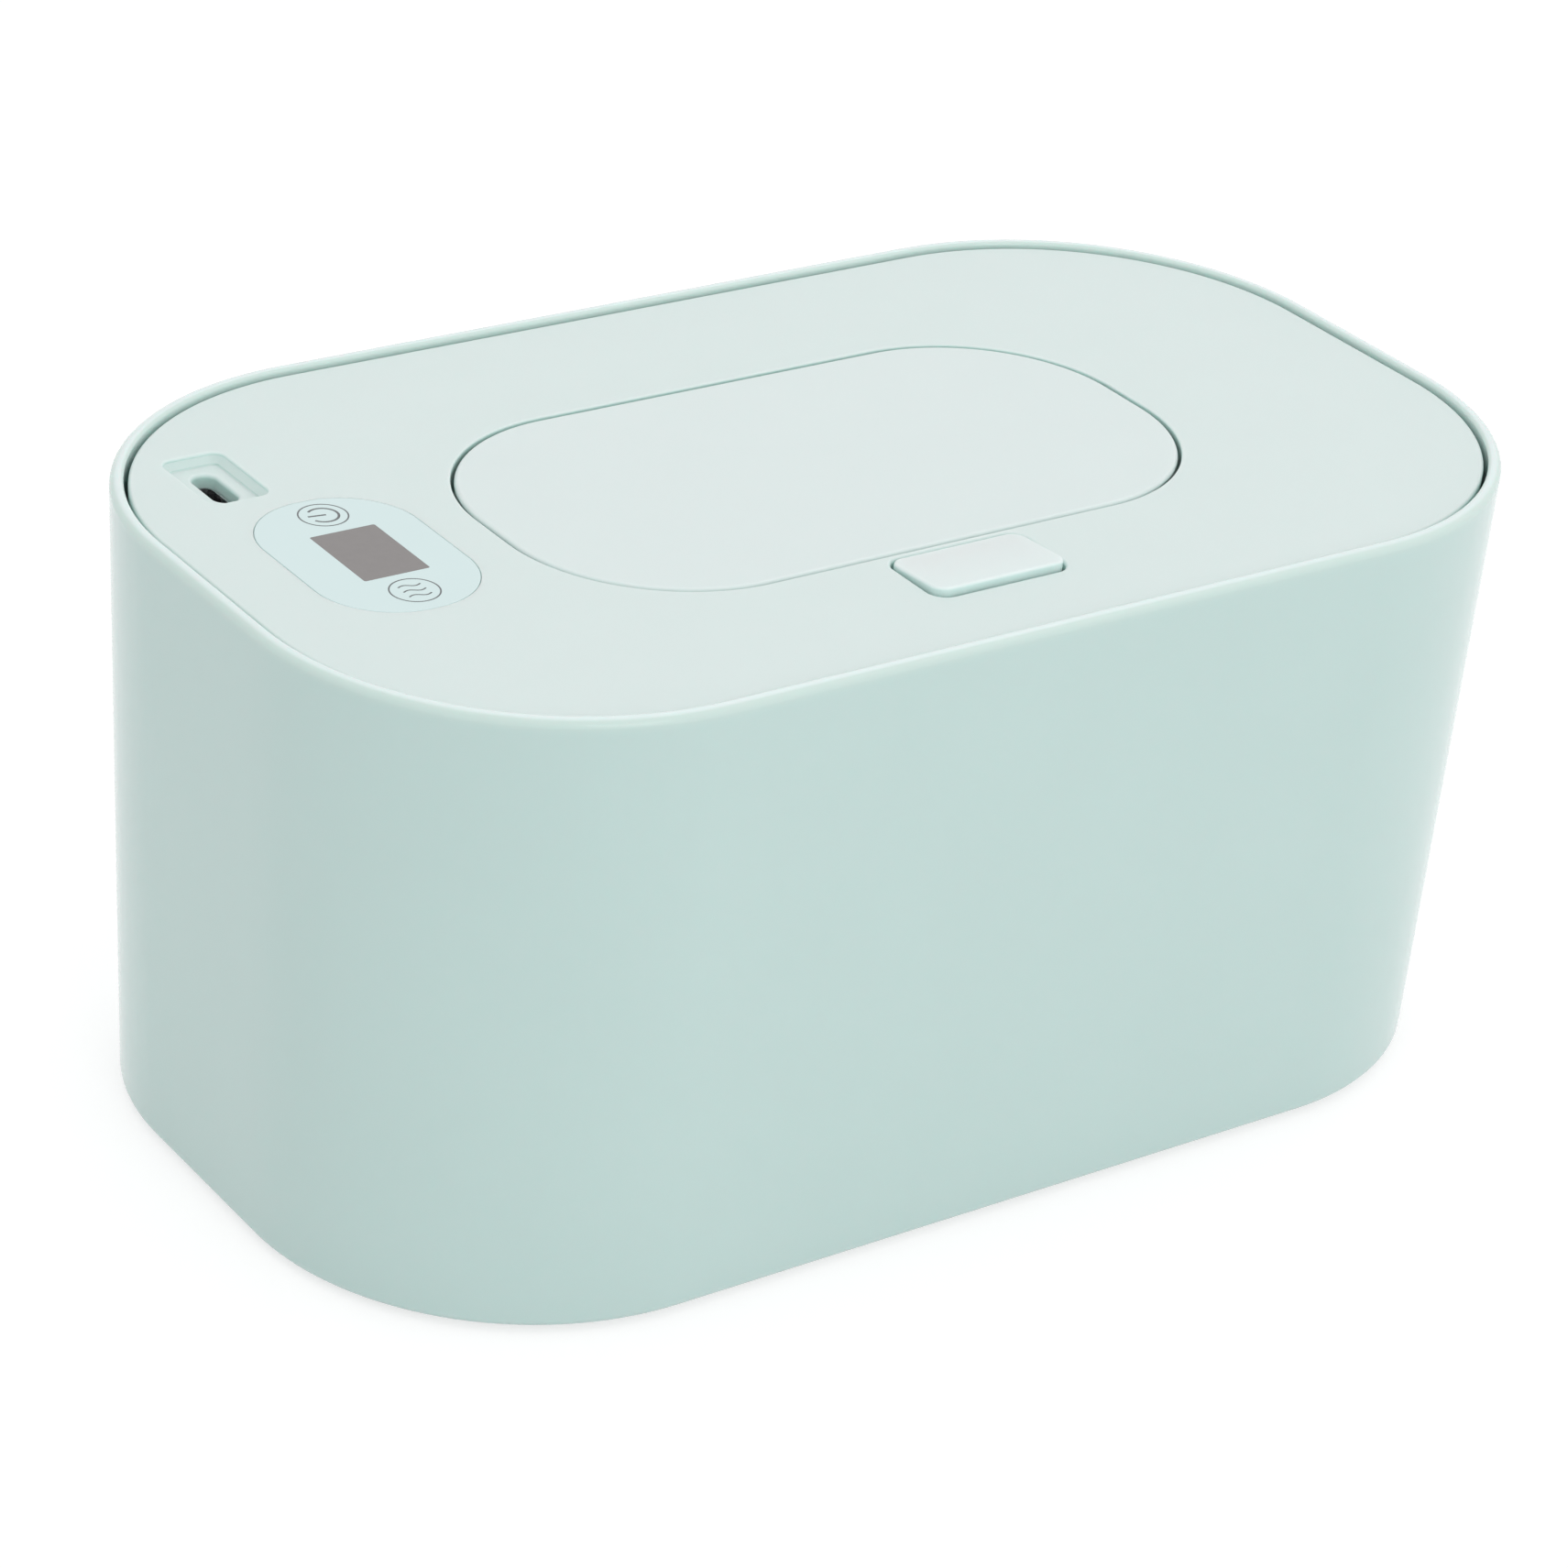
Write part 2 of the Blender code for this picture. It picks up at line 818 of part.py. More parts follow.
def ear_outline():
    """Side view of a hinge ear: straight down from the plate, round at the pin."""
    top_z = lid_z - lid_plate + joint_overlap
    points = [(hinge_y + ear_radius, top_z), (hinge_y - ear_radius, top_z)]
    for step in range(small_round_sides + 1):
        angle = math.pi * (1 + step / small_round_sides)
        y = hinge_y + ear_radius * math.cos(angle)
        z = hinge_z + ear_radius * math.sin(angle)
        points.append((y, z))
    return points


def ear_starts():
    """Where each ear begins along X: one on either side of each arm."""
    reach = arm_width / 2 + arm_side_gap
    starts = []
    for middle in arm_middles():
        starts.append(middle - reach - ear_thickness)
        starts.append(middle + reach)
    return starts


def arm_notches():
    """Ways through the ledge and the recess wall for the swinging arms."""
    half = arm_width / 2 + notch_clearance
    front_y = hinge_y - arm_outer_radius - notch_clearance
    back_y = recess_back_y + recess_wall + notch_clearance
    top_z = lid_z - lid_plate - joint_overlap
    return [
        block((middle - half, front_y, ledge_low_z - cut_overrun), (middle + half, back_y, top_z))
        for middle in arm_middles()
    ]


def lid_cover(material, parent):
    """Moulded lid: plate, skirt, door recess with its ledge, button pocket and plug recess."""
    wall_outer = door_gap + recess_wall
    plate_low_z = lid_z - lid_plate
    edge_z = lid_z - lid_edge_rounding
    door_edge_z = lid_z - recess_edge_rounding
    levels = [
        (lid_outline(skirt_low_z, 0.0), skirt_low_z),
        (lid_outline(edge_z, 0.0), edge_z),
        (lid_outline(lid_z, lid_edge_rounding), lid_z),
        (door_outline(door_gap + recess_edge_rounding), lid_z),
        (door_outline(door_gap), door_edge_z),
        (door_outline(door_gap), ledge_top_z),
        (door_outline(-well_inset), ledge_top_z),
        (door_outline(-well_inset), ledge_low_z),
        (door_outline(wall_outer), ledge_low_z),
        (door_outline(wall_outer), plate_low_z),
        (lid_outline(plate_low_z, lid_skirt_wall), plate_low_z),
        (lid_outline(skirt_low_z, lid_skirt_wall), skirt_low_z),
    ]
    shape = loft(levels, ring=True)
    inside_plate_z = plate_low_z + joint_overlap
    boss_low_z = lid_base_top_z + seat_gap
    cup_low_z = lid_z - plug_recess_depth - plug_cup_floor
    additions = [rod(place, lid_boss_radius, boss_low_z, inside_plate_z) for place in lid_screw_places()]
    for place in board_screw_places():
        additions.append(rod(place, board_boss_radius, board_top_z + seat_gap, inside_plate_z))
    additions.append(prism(plug_outline(plug_recess_wall), cup_low_z, inside_plate_z))
    additions.append(prism(pocket_outline(pocket_wall), pocket_low_z, inside_plate_z))
    for start in ear_starts():
        additions.append(prism(ear_outline(), start, start + ear_thickness, "X"))
    shape = with_added(shape, additions)
    node_mesh = finished_mesh(with_cut(shape, lid_cuts(cup_low_z)))
    node("lid_cover", node_mesh, material, parent, Vector((0.0, 0.0, lid_z)))


def recess_cut(low_outline, low_z, edge_outline, rounding):
    """A cutter for a recess in the lid whose upper edge is rounded outwards."""
    levels = [(low_outline, low_z)]
    for widening, drop in reversed(quarter_round(rounding)):
        levels.append((edge_outline(widening), lid_z - drop))
    levels.append((edge_outline(rounding), lid_z + cut_overrun))
    return loft(levels, ring=False)


def lid_cuts(cup_low_z):
    above_z = lid_z + cut_overrun
    film_floor_z = lid_z - film_thickness - seat_gap
    recess_floor_z = lid_z - plug_recess_depth
    cuts = [prism(panel_outline(0.0), film_floor_z, above_z)]
    window_low_z = lid_z - lid_plate - cut_overrun
    cuts.append(prism(display_outline(0.0), window_low_z, above_z))
    plug_floor = plug_outline(-plug_recess_draft_inset)
    cuts.append(recess_cut(plug_floor, recess_floor_z, plug_outline, plug_edge_rounding))
    slot_bottom_z = recess_floor_z - socket_slot_margin
    cuts.append(
        loft(
            [
                (socket_outline(socket_clearance), cup_low_z - cut_overrun),
                (socket_outline(socket_clearance), slot_bottom_z),
                (socket_outline(socket_clearance + socket_slot_margin), recess_floor_z),
                (socket_outline(socket_clearance + socket_slot_margin), recess_floor_z + joint_overlap),
            ],
            ring=False,
        )
    )
    pocket_low = pocket_low_z - cut_overrun
    cuts.append(recess_cut(pocket_outline(0.0), pocket_low, pocket_outline, pocket_edge_rounding))
    for place in lid_screw_places():
        hole_low_z = lid_base_low_z
        hole_high_z = lid_base_low_z + lid_screw_reach + seat_gap
        cuts.append(rod(place, lid_screw_radius + seat_gap, hole_low_z, hole_high_z))
    for place in board_screw_places():
        hole_high_z = board_low_z + board_screw_reach + seat_gap
        cuts.append(rod(place, board_screw_radius + seat_gap, board_low_z, hole_high_z))
    pin_low_x = min(ear_starts()) - cut_overrun
    pin_high_x = max(ear_starts()) + ear_thickness + cut_overrun
    cuts.append(rod((hinge_y, hinge_z), hinge_hole_radius, pin_low_x, pin_high_x, axis="X"))
    cuts.extend(arm_notches())
    catch_half = catch_width / 2 + notch_clearance
    catch_back_y = catch_front_y + catch_thickness + notch_clearance
    catch_wall_y = door_front_y - door_gap
    low = (catch_x - catch_half, catch_wall_y, ledge_low_z - cut_overrun)
    cuts.append(block(low, (catch_x + catch_half, catch_back_y, ledge_top_z + joint_overlap)))
    return cuts


def lid_base(material, parent):
    """Underside of the lid: floor with a lip, wall of the dispensing well and the latch's guide."""
    lip_outer = lid_skirt_wall + seat_gap
    lip_inner = lip_outer + lid_lip_thickness
    lip_top_z = lid_base_top_z + lid_lip_height
    well_top_z = ledge_low_z - seat_gap
    well_outer = -well_inset + well_wall
    levels = [
        (lid_outline(lid_base_low_z, 0.0), lid_base_low_z),
        (lid_outline(lid_base_top_z, 0.0), lid_base_top_z),
        (lid_outline(lid_base_top_z, lip_outer), lid_base_top_z),
        (lid_outline(lip_top_z, lip_outer), lip_top_z),
        (lid_outline(lip_top_z, lip_inner), lip_top_z),
        (lid_outline(lid_base_top_z, lip_inner), lid_base_top_z),
        (door_outline(well_outer), lid_base_top_z),
        (door_outline(well_outer), well_top_z),
        (door_outline(-well_inset), well_top_z),
        (door_outline(-well_inset), lid_base_low_z),
    ]
    shape = loft(levels, ring=True)
    guide_half = slider_half_width + seat_gap
    rail_half = guide_half + slider_rail
    guide_front_y = slider_front_y - button_travel
    sunk_z = lid_base_top_z - joint_overlap
    low = (button_centre_x - rail_half, guide_front_y, sunk_z)
    high = (button_centre_x + rail_half, slider_back_y, guide_top_z)
    shape = with_added(shape, [block(low, high)])
    rails = []
    for side in (-1, 1):
        inner_x = button_centre_x + side * guide_half
        outer_x = button_centre_x + side * rail_half
        rail_top_z = guide_top_z + slider_rail_height
        low = (min(inner_x, outer_x), guide_front_y, guide_top_z - joint_overlap)
        rails.append(block(low, (max(inner_x, outer_x), slider_back_y, rail_top_z)))
    shape = with_added(shape, rails)
    floor_over = (lid_base_low_z - cut_overrun, lid_base_top_z + cut_overrun)
    cuts = [rod(place, lid_screw_radius + seat_gap, *floor_over) for place in lid_screw_places()]
    cuts.append(rod((sensor_place_x, sensor_place_y), sensor_radius + seat_gap, *floor_over))
    lead_hole = (heater_lead_hole_x, heater_lead_hole_y)
    cuts.append(rod(lead_hole, lead_diameter / 2 + 2 * seat_gap, *floor_over))
    node_mesh = finished_mesh(with_cut(shape, cuts))
    node("lid_base", node_mesh, material, parent, Vector((0.0, 0.0, lid_base_low_z)))


def lid_seal(material, parent):
    outer = lid_seal_margin
    inner = outer + lid_seal_width
    low_z = seal_top_z - lid_seal_height
    levels = [
        (lid_outline(low_z, outer + lid_seal_width / 4), low_z),
        (lid_outline(low_z, outer), low_z + lid_seal_height / 2),
        (lid_outline(low_z, outer), seal_top_z),
        (lid_outline(low_z, inner), seal_top_z),
        (lid_outline(low_z, inner), low_z + lid_seal_height / 2),
        (lid_outline(low_z, inner - lid_seal_width / 4), low_z),
    ]
    place = Vector((0.0, 0.0, seal_top_z))
    node("lid_seal", finished_mesh(loft(levels, ring=True)), material, parent, place)


def heater(plate_material, film_material, sensor_material, parent):
    """Film heater and warming plate under the lid, open where the wipes come through."""
    film_top_z = lid_base_low_z - seat_gap
    film_low_z = film_top_z - heating_film_thickness
    plate_top_z = film_low_z - seat_gap
    plate_low_z = plate_top_z - heat_plate_thickness
    pieces = (
        ("heating_film", film_low_z, film_top_z, heating_film_inset, film_material),
        ("heat_plate", plate_low_z, plate_top_z, 0.0, plate_material),
    )
    for name, low_z, high_z, inset, material in pieces:
        outer = outline(heat_plate_length, heat_plate_width, heat_plate_radius, -inset)
        hole = door_outline(-well_inset + heat_plate_hole_margin + inset)
        levels = [(outer, low_z), (outer, high_z), (hole, high_z), (hole, low_z)]
        place = Vector((0.0, 0.0, high_z))
        node(name, finished_mesh(loft(levels, ring=True)), material, parent, place)
    sensor_low_z = film_top_z + seat_gap
    place = (sensor_place_x, sensor_place_y)
    sensor = rod(place, sensor_radius, sensor_low_z, sensor_low_z + sensor_height)
    origin = Vector((*place, sensor_low_z))
    node("temperature_sensor", finished_mesh(sensor), sensor_material, parent, origin)


def leads(material, parent):
    """Insulated leads inside the lid: board to heater, and board to sensor."""
    start_z = board_low_z - seat_gap
    floor_z = lid_base_top_z
    film_top_z = lid_base_low_z - seat_gap
    clear_z = (start_z + floor_z) / 2
    turn = lead_diameter * 2
    stub = Vector((0.0, 0.0, lead_diameter / 2))
    heater_start = Vector((lead_start_x, chip_place_y + chip_width + turn, start_z))
    heater_end = Vector((heater_lead_hole_x, heater_lead_hole_y, film_top_z + seat_gap))
    heater_route = [
        heater_start - stub,
        Vector((lead_start_x, heater_start.y + turn / 2, clear_z)),
        Vector((heater_end.x, heater_end.y - turn, clear_z)),
        Vector((heater_end.x, heater_end.y, floor_z)),
        heater_end + stub,
    ]
    sensor_mid_z = floor_z + seat_gap + lead_diameter
    side_stub = Vector((0.0, lead_diameter / 2, 0.0))
    sensor_start = Vector((lead_start_x, chip_place_y - chip_width - turn, start_z))
    sensor_side_y = sensor_place_y + sensor_radius + seat_gap
    sensor_end = Vector((sensor_place_x, sensor_side_y, sensor_mid_z))
    sensor_route = [
        sensor_start - stub,
        Vector((lead_start_x, sensor_start.y - turn / 2, clear_z)),
        Vector((sensor_place_x - turn, sensor_side_y + 2 * turn, clear_z)),
        Vector((sensor_place_x, sensor_side_y + turn, sensor_mid_z)),
        sensor_end + side_stub,
    ]
    runs = (
        ("heater_lead", heater_start, heater_route, heater_end),
        ("sensor_lead", sensor_start, sensor_route, sensor_end),
    )
    for name, start, route, end in runs:
        path = [start] + smooth_route(route, lead_samples) + [end]
        wire(name, path, lead_diameter, material, parent, lead_sides)


def circuit_board(board_material, chip_material, parent):
    length = board_high_x - board_low_x
    width = board_high_y - board_low_y
    centre = ((board_high_x + board_low_x) / 2, (board_high_y + board_low_y) / 2)
    points = outline(length, width, board_corner_radius, 0.0, centre, small_corner_steps)
    shape = prism(points, board_low_z, board_top_z)
    over = (board_low_z - cut_overrun, board_top_z + cut_overrun)
    holes = [rod(place, board_screw_radius + seat_gap, *over) for place in board_screw_places()]
    mesh = finished_mesh(with_cut(shape, holes))
    node("circuit_board", mesh, board_material, parent, Vector((*centre, board_low_z)))
    chip_top_z = board_low_z - seat_gap
    low = (centre[0] - chip_length / 2, chip_place_y - chip_width / 2, chip_top_z - chip_height)
    high = (centre[0] + chip_length / 2, chip_place_y + chip_width / 2, chip_top_z)
    place = Vector((centre[0], chip_place_y, chip_top_z))
    node("control_chip", finished_mesh(block(low, high)), chip_material, parent, place)


def control_panel(film_material, lens_material, module_material, parent):
    """Overlay film, the lens in the plate's window and the display behind it."""
    film_low_z = lid_z - film_thickness
    film = prism(panel_outline(-film_side_gap), film_low_z, lid_z)
    place = Vector((panel_centre_x, panel_centre_y, film_low_z))
    node("control_film", finished_mesh(film), film_material, parent, place)
    lens_top_z = film_low_z - seat_gap
    lens_low_z = lens_top_z - lens_thickness
    lens = prism(display_outline(-seat_gap), lens_low_z, lens_top_z)
    place = Vector((display_centre_x, display_centre_y, lens_low_z))
    node("display_lens", finished_mesh(lens), lens_material, parent, place)
    module_top_z = lid_z - lid_plate - seat_gap
    module_low_z = board_top_z + seat_gap
    module = prism(display_outline(display_frame), module_low_z, module_top_z)
    place = Vector((display_centre_x, display_centre_y, module_low_z))
    node("display_module", finished_mesh(module), module_material, parent, place)


def touch_springs(material, parent):
    low_z = board_top_z + seat_gap + touch_spring_wire / 2
    high_z = lid_z - lid_plate - seat_gap - touch_spring_wire / 2
    radii = (touch_spring_base_radius, touch_spring_top_radius)
    keys = (
        ("touch_spring_power", power_key_x, power_key_y),
        ("touch_spring_set", set_key_x, set_key_y),
    )
    for name, x, y in keys:
        path = helix((x, y), radii, low_z, high_z, touch_spring_turns)
        wire(name, path, touch_spring_wire, material, parent, wire_sides)


def socket(shell_material, tongue_material, parent):
    """Upright power socket on the board: a drawn shell with a tongue in it."""
    top_z = lid_z - socket_drop
    low_z = board_top_z + seat_gap
    floor_z = low_z + 2 * socket_wall
    levels = [
        (socket_outline(0.0), low_z),
        (socket_outline(0.0), top_z),
        (socket_outline(-socket_wall), top_z),
        (socket_outline(-socket_wall), floor_z),
    ]
    place = Vector((plug_recess_x, plug_recess_y, low_z))
    node("usb_shell", finished_mesh(loft(levels, ring=False)), shell_material, parent, place)
    half_x = tongue_thickness / 2
    half_y = tongue_length / 2
    tongue_low_z = floor_z + seat_gap
    low = (plug_recess_x - half_x, plug_recess_y - half_y, tongue_low_z)
    high = (plug_recess_x + half_x, plug_recess_y + half_y, top_z - tongue_drop)
    place = Vector((plug_recess_x, plug_recess_y, tongue_low_z))
    node("usb_tongue", finished_mesh(block(low, high)), tongue_material, parent, place)


def screws(material, parent):
    """Screws of the lid's underside and of the board, all driven from below."""
    lid_head_z = lid_base_low_z - seat_gap
    lid_screw = screw_mesh(
        lid_screw_head_radius, lid_screw_head_height, lid_screw_radius, lid_screw_reach
    )
    lid_screw.materials.append(material)
    for number, (x, y) in enumerate(lid_screw_places(), start=1):
        placed(f"lid_screw_{number}", lid_screw, parent, Vector((x, y, lid_head_z)))
    board_head_z = board_low_z - seat_gap
    board_screw = screw_mesh(
        board_screw_head_radius, board_screw_head_height, board_screw_radius, board_screw_reach
    )
    board_screw.materials.append(material)
    for number, (x, y) in enumerate(board_screw_places(), start=1):
        placed(f"board_screw_{number}", board_screw, parent, Vector((x, y, board_head_z)))


def hinge(pin_material, spring_material, parent):
    """Rod through ears and arms, and the spring that throws the door open."""
    low_x = min(ear_starts()) - hinge_pin_overhang
    high_x = max(ear_starts()) + ear_thickness + hinge_pin_overhang
    pin = rod((hinge_y, hinge_z), hinge_pin_radius, low_x, high_x, axis="X")
    place = Vector((low_x, hinge_y, hinge_z))
    node("hinge_pin", finished_mesh(pin), pin_material, parent, place)
    coil_start_x = ear_starts()[1] + ear_thickness + seat_gap + spring_wire
    coil_end_x = coil_start_x + spring_pitch * spring_turns
    coil = helix(
        (hinge_y, hinge_z),
        (spring_mean_radius, spring_mean_radius),
        coil_start_x,
        coil_end_x,
        spring_turns,
        axis="X",
    )
    leg_y = hinge_y + arm_eye_radius + spring_wire
    leg_low_z = hinge_z - spring_leg
    hook = [
        Vector((coil_start_x - spring_hook, leg_y, leg_low_z)),
        Vector((coil_start_x - spring_wire, leg_y, leg_low_z)),
        Vector((coil_start_x, leg_y, leg_low_z + spring_wire)),
        Vector((coil_start_x, leg_y, hinge_z - spring_wire)),
    ]
    tail = [Vector((coil_end_x, leg_y, hinge_z + spring_wire))]
    tail.append(Vector((coil_end_x, hinge_y + spring_leg, hinge_z + spring_mean_radius)))
    path = hook + coil[1:-1] + tail
    wire("torsion_spring", path, spring_wire, spring_material, parent, wire_sides)


def door_panel(material, parent):
    """The flush outer plate: rounded top edge, short land, then a bevel that lets it swing."""
    land_z = lid_z - door_land
    edge_z = lid_z - door_rounding
    half_step = door_rounding * (1 - math.sqrt(0.5))
    levels = [
        (door_outline(-door_bevel_inset), lid_z - door_thickness),
        (door_outline(0.0), land_z),
        (door_outline(0.0), edge_z),
        (door_outline(-half_step), lid_z - half_step),
        (door_outline(-door_rounding), lid_z),
    ]
    place = Vector((door_centre_x, hinge_y, hinge_z))
    node("door_panel", finished_mesh(loft(levels, ring=False)), material, parent, place)


def swing_point(radius, angle):
    """A point round the hinge: angle counts upwards from the front."""
    return (hinge_y - radius * math.cos(angle), hinge_z + radius * math.sin(angle))


def swing_arc(radius, start, end):
    angles = [start + (end - start) * step / swing_steps for step in range(swing_steps + 1)]
    return [swing_point(radius, angle) for angle in angles]


def arm_outline():
    """Side view of a goose-neck arm: root, outer arc, web, eye and inner arc back up."""
    top = door_inner_top_z - hinge_z
    low = door_inner_low_z - hinge_z
    root_y = hinge_y - arm_outer_radius - arm_root_length
    points = [(root_y, door_inner_top_z), (root_y, door_inner_low_z)]
    half_outer = math.asin(arm_web_half_width / arm_outer_radius)
    half_inner = math.asin(arm_web_half_width / arm_inner_radius)
    half_eye = math.asin(arm_web_half_width / arm_eye_radius)
    start = math.asin(low / arm_outer_radius)
    points += swing_arc(arm_outer_radius, start, web_angle - half_outer)
    points += swing_arc(arm_eye_radius, web_angle - half_eye, web_angle + half_eye - math.tau)
    end = math.asin(top / arm_inner_radius)
    points += swing_arc(arm_inner_radius, web_angle + half_inner, end)
    return points


def door_inner(material, parent):
    """Inner panel of the door, with two goose-neck arms and the catch tongue."""
    points = door_outline(-door_inner_inset)
    shape = prism(points, door_inner_low_z, door_inner_top_z)
    half = arm_width / 2
    arms = [
        prism(arm_outline(), middle - half, middle + half, "X") for middle in arm_middles()
    ]
    shape = with_added(shape, arms)
    back_y = catch_front_y + catch_thickness
    chamfer = catch_hook_reach / 2
    tongue = [
        (back_y, door_inner_low_z + joint_overlap),
        (catch_front_y, door_inner_low_z + joint_overlap),
        (catch_front_y, hook_top_z),
        (catch_hook_front_y, hook_top_z),
        (catch_hook_front_y, catch_low_z + chamfer),
        (catch_hook_front_y + chamfer, catch_low_z),
        (back_y, catch_low_z),
    ]
    half = catch_width / 2
    shape = with_added(shape, [prism(tongue, catch_x - half, catch_x + half, "X")])
    holes = []
    for middle in arm_middles():
        low_x = middle - arm_width / 2 - cut_overrun
        high_x = middle + arm_width / 2 + cut_overrun
        holes.append(rod((hinge_y, hinge_z), hinge_hole_radius, low_x, high_x, axis="X"))
    node_mesh = finished_mesh(with_cut(shape, holes))
    node("door_inner", node_mesh, material, parent, Vector((door_centre_x, hinge_y, hinge_z)))


def door_seal(material, parent):
    top_z = door_inner_low_z - seat_gap
    low_z = top_z - door_seal_height
    mid_z = (top_z + low_z) / 2
    outer = -door_seal_inset
    inner = outer - door_seal_width
    levels = [
        (door_outline(outer - door_seal_width / 4), low_z),
        (door_outline(outer), mid_z),
        (door_outline(outer), top_z),
        (door_outline(inner), top_z),
        (door_outline(inner), mid_z),
        (door_outline(inner + door_seal_width / 4), low_z),
    ]
    place = Vector((door_centre_x, hinge_y, hinge_z))
    node("door_seal", finished_mesh(loft(levels, ring=True)), material, parent, place)


def button_cap(material, parent):
    """Hollow cap with a rounded top, two ramp ribs and two barbs that keep it in its pocket."""
    skirt_low_z = lid_z - button_skirt_depth
    levels = [(button_outline(-button_skirt_wall), roof_low_z)]
    levels.append((button_outline(-button_skirt_wall), skirt_low_z))
    levels.append((button_outline(0.0), skirt_low_z))
    for inset, drop in reversed(quarter_round(button_rounding)):
        levels.append((button_outline(-inset), cap_top_z - drop))
    shape = loft(levels, ring=False)
    slope_gap = seat_gap * math.sqrt(2)
    tip_z = ramp_top_z - ramp_engagement
    tip_y = ramp_front_y + ramp_engagement + slope_gap
    rib_front_y = tip_y - rib_slope_length
    rib_back_y = tip_y + rib_body_length
    rib = [
        (tip_y, tip_z),
        (rib_back_y, tip_z),
        (rib_back_y, roof_low_z + joint_overlap),
        (rib_front_y, roof_low_z + joint_overlap),
        (rib_front_y, tip_z + rib_slope_length),
    ]
    additions = []
    leg_low_z = pocket_low_z - seat_gap - barb_height
    for side in (-1, 1):
        rib_x = button_centre_x + side * ramp_mid_x
        additions.append(prism(rib, rib_x - ramp_width / 2, rib_x + ramp_width / 2, "X"))
        outer_x = button_centre_x + side * button_length / 2
        inner_x = outer_x - side * button_skirt_wall
        leg_low = (min(inner_x, outer_x), button_centre_y - barb_width / 2, leg_low_z)
        leg_high = (
            max(inner_x, outer_x),
            button_centre_y + barb_width / 2,
            skirt_low_z + joint_overlap,
        )
        additions.append(block(leg_low, leg_high))
    shape = with_added(shape, additions)
    barbs = []
    for side in (-1, 1):
        outer_x = button_centre_x + side * button_length / 2
        sunk_x = outer_x - side * joint_overlap
        tip_x = outer_x + side * barb_reach
        low = (min(sunk_x, tip_x), button_centre_y - barb_width / 2, leg_low_z)
        high = (max(sunk_x, tip_x), button_centre_y + barb_width / 2, leg_low_z + barb_height)
        barbs.append(block(low, high))
    shape = with_added(shape, barbs)
    place = Vector((button_centre_x, button_centre_y, cap_top_z))
    node("button_cap", finished_mesh(shape), material, parent, place)


def spring_middle_y():
    """The return spring stands in the slider's slot, clear of it through the whole travel."""
    solid_length = slider_length - button_travel
    return slider_front_y + solid_length / 2 + return_spring_set_back


def button_spring(material, parent):
    low_z = guide_top_z + seat_gap + return_spring_wire / 2
    high_z = roof_low_z - seat_gap - return_spring_wire / 2
    radii = (return_spring_radius, return_spring_radius)
    centre = (button_centre_x, spring_middle_y())
    path = helix(centre, radii, low_z, high_z, return_spring_turns)
    wire("button_spring", path, return_spring_wire, material, parent, wire_sides)


def latch_slider(material, parent):
    """Slider with two 45 degree ramps under the button and a nose over the door's catch."""
    low = (button_centre_x - slider_half_width, slider_front_y, slider_low_z)
    high = (button_centre_x + slider_half_width, slider_back_y, slider_top_z)
    shape = block(low, high)
    nose_tip_y = catch_hook_front_y - notch_clearance - slider_nose_clearance
    nose_low = (catch_x - slider_nose_half_width, slider_back_y - joint_overlap, slider_low_z)
    nose_high = (catch_x + slider_nose_half_width, nose_tip_y, slider_top_z - joint_overlap)
    additions = [block(nose_low, nose_high)]
    ramp = [
        (ramp_front_y, slider_top_z - joint_overlap),
        (ramp_front_y, ramp_top_z),
        (ramp_front_y + ramp_height, slider_top_z),
        (ramp_front_y + ramp_height, slider_top_z - joint_overlap),
    ]
    for side in (-1, 1):
        middle_x = button_centre_x + side * ramp_mid_x
        low_x = middle_x - ramp_width / 2
        additions.append(prism(ramp, low_x, middle_x + ramp_width / 2, "X"))
    shape = with_added(shape, additions)
    reach = return_spring_radius + return_spring_wire / 2 + slider_slot_clearance
    middle_y = spring_middle_y()
    slot_low = (button_centre_x - reach, middle_y - reach, slider_low_z - cut_overrun)
    slot_high = (
        button_centre_x + reach,
        middle_y + reach + button_travel,
        slider_top_z + cut_overrun,
    )
    shape = with_cut(shape, [block(slot_low, slot_high)])
    place = Vector((button_centre_x, slider_front_y, slider_low_z))
    node("latch_slider", finished_mesh(shape), material, parent, place)


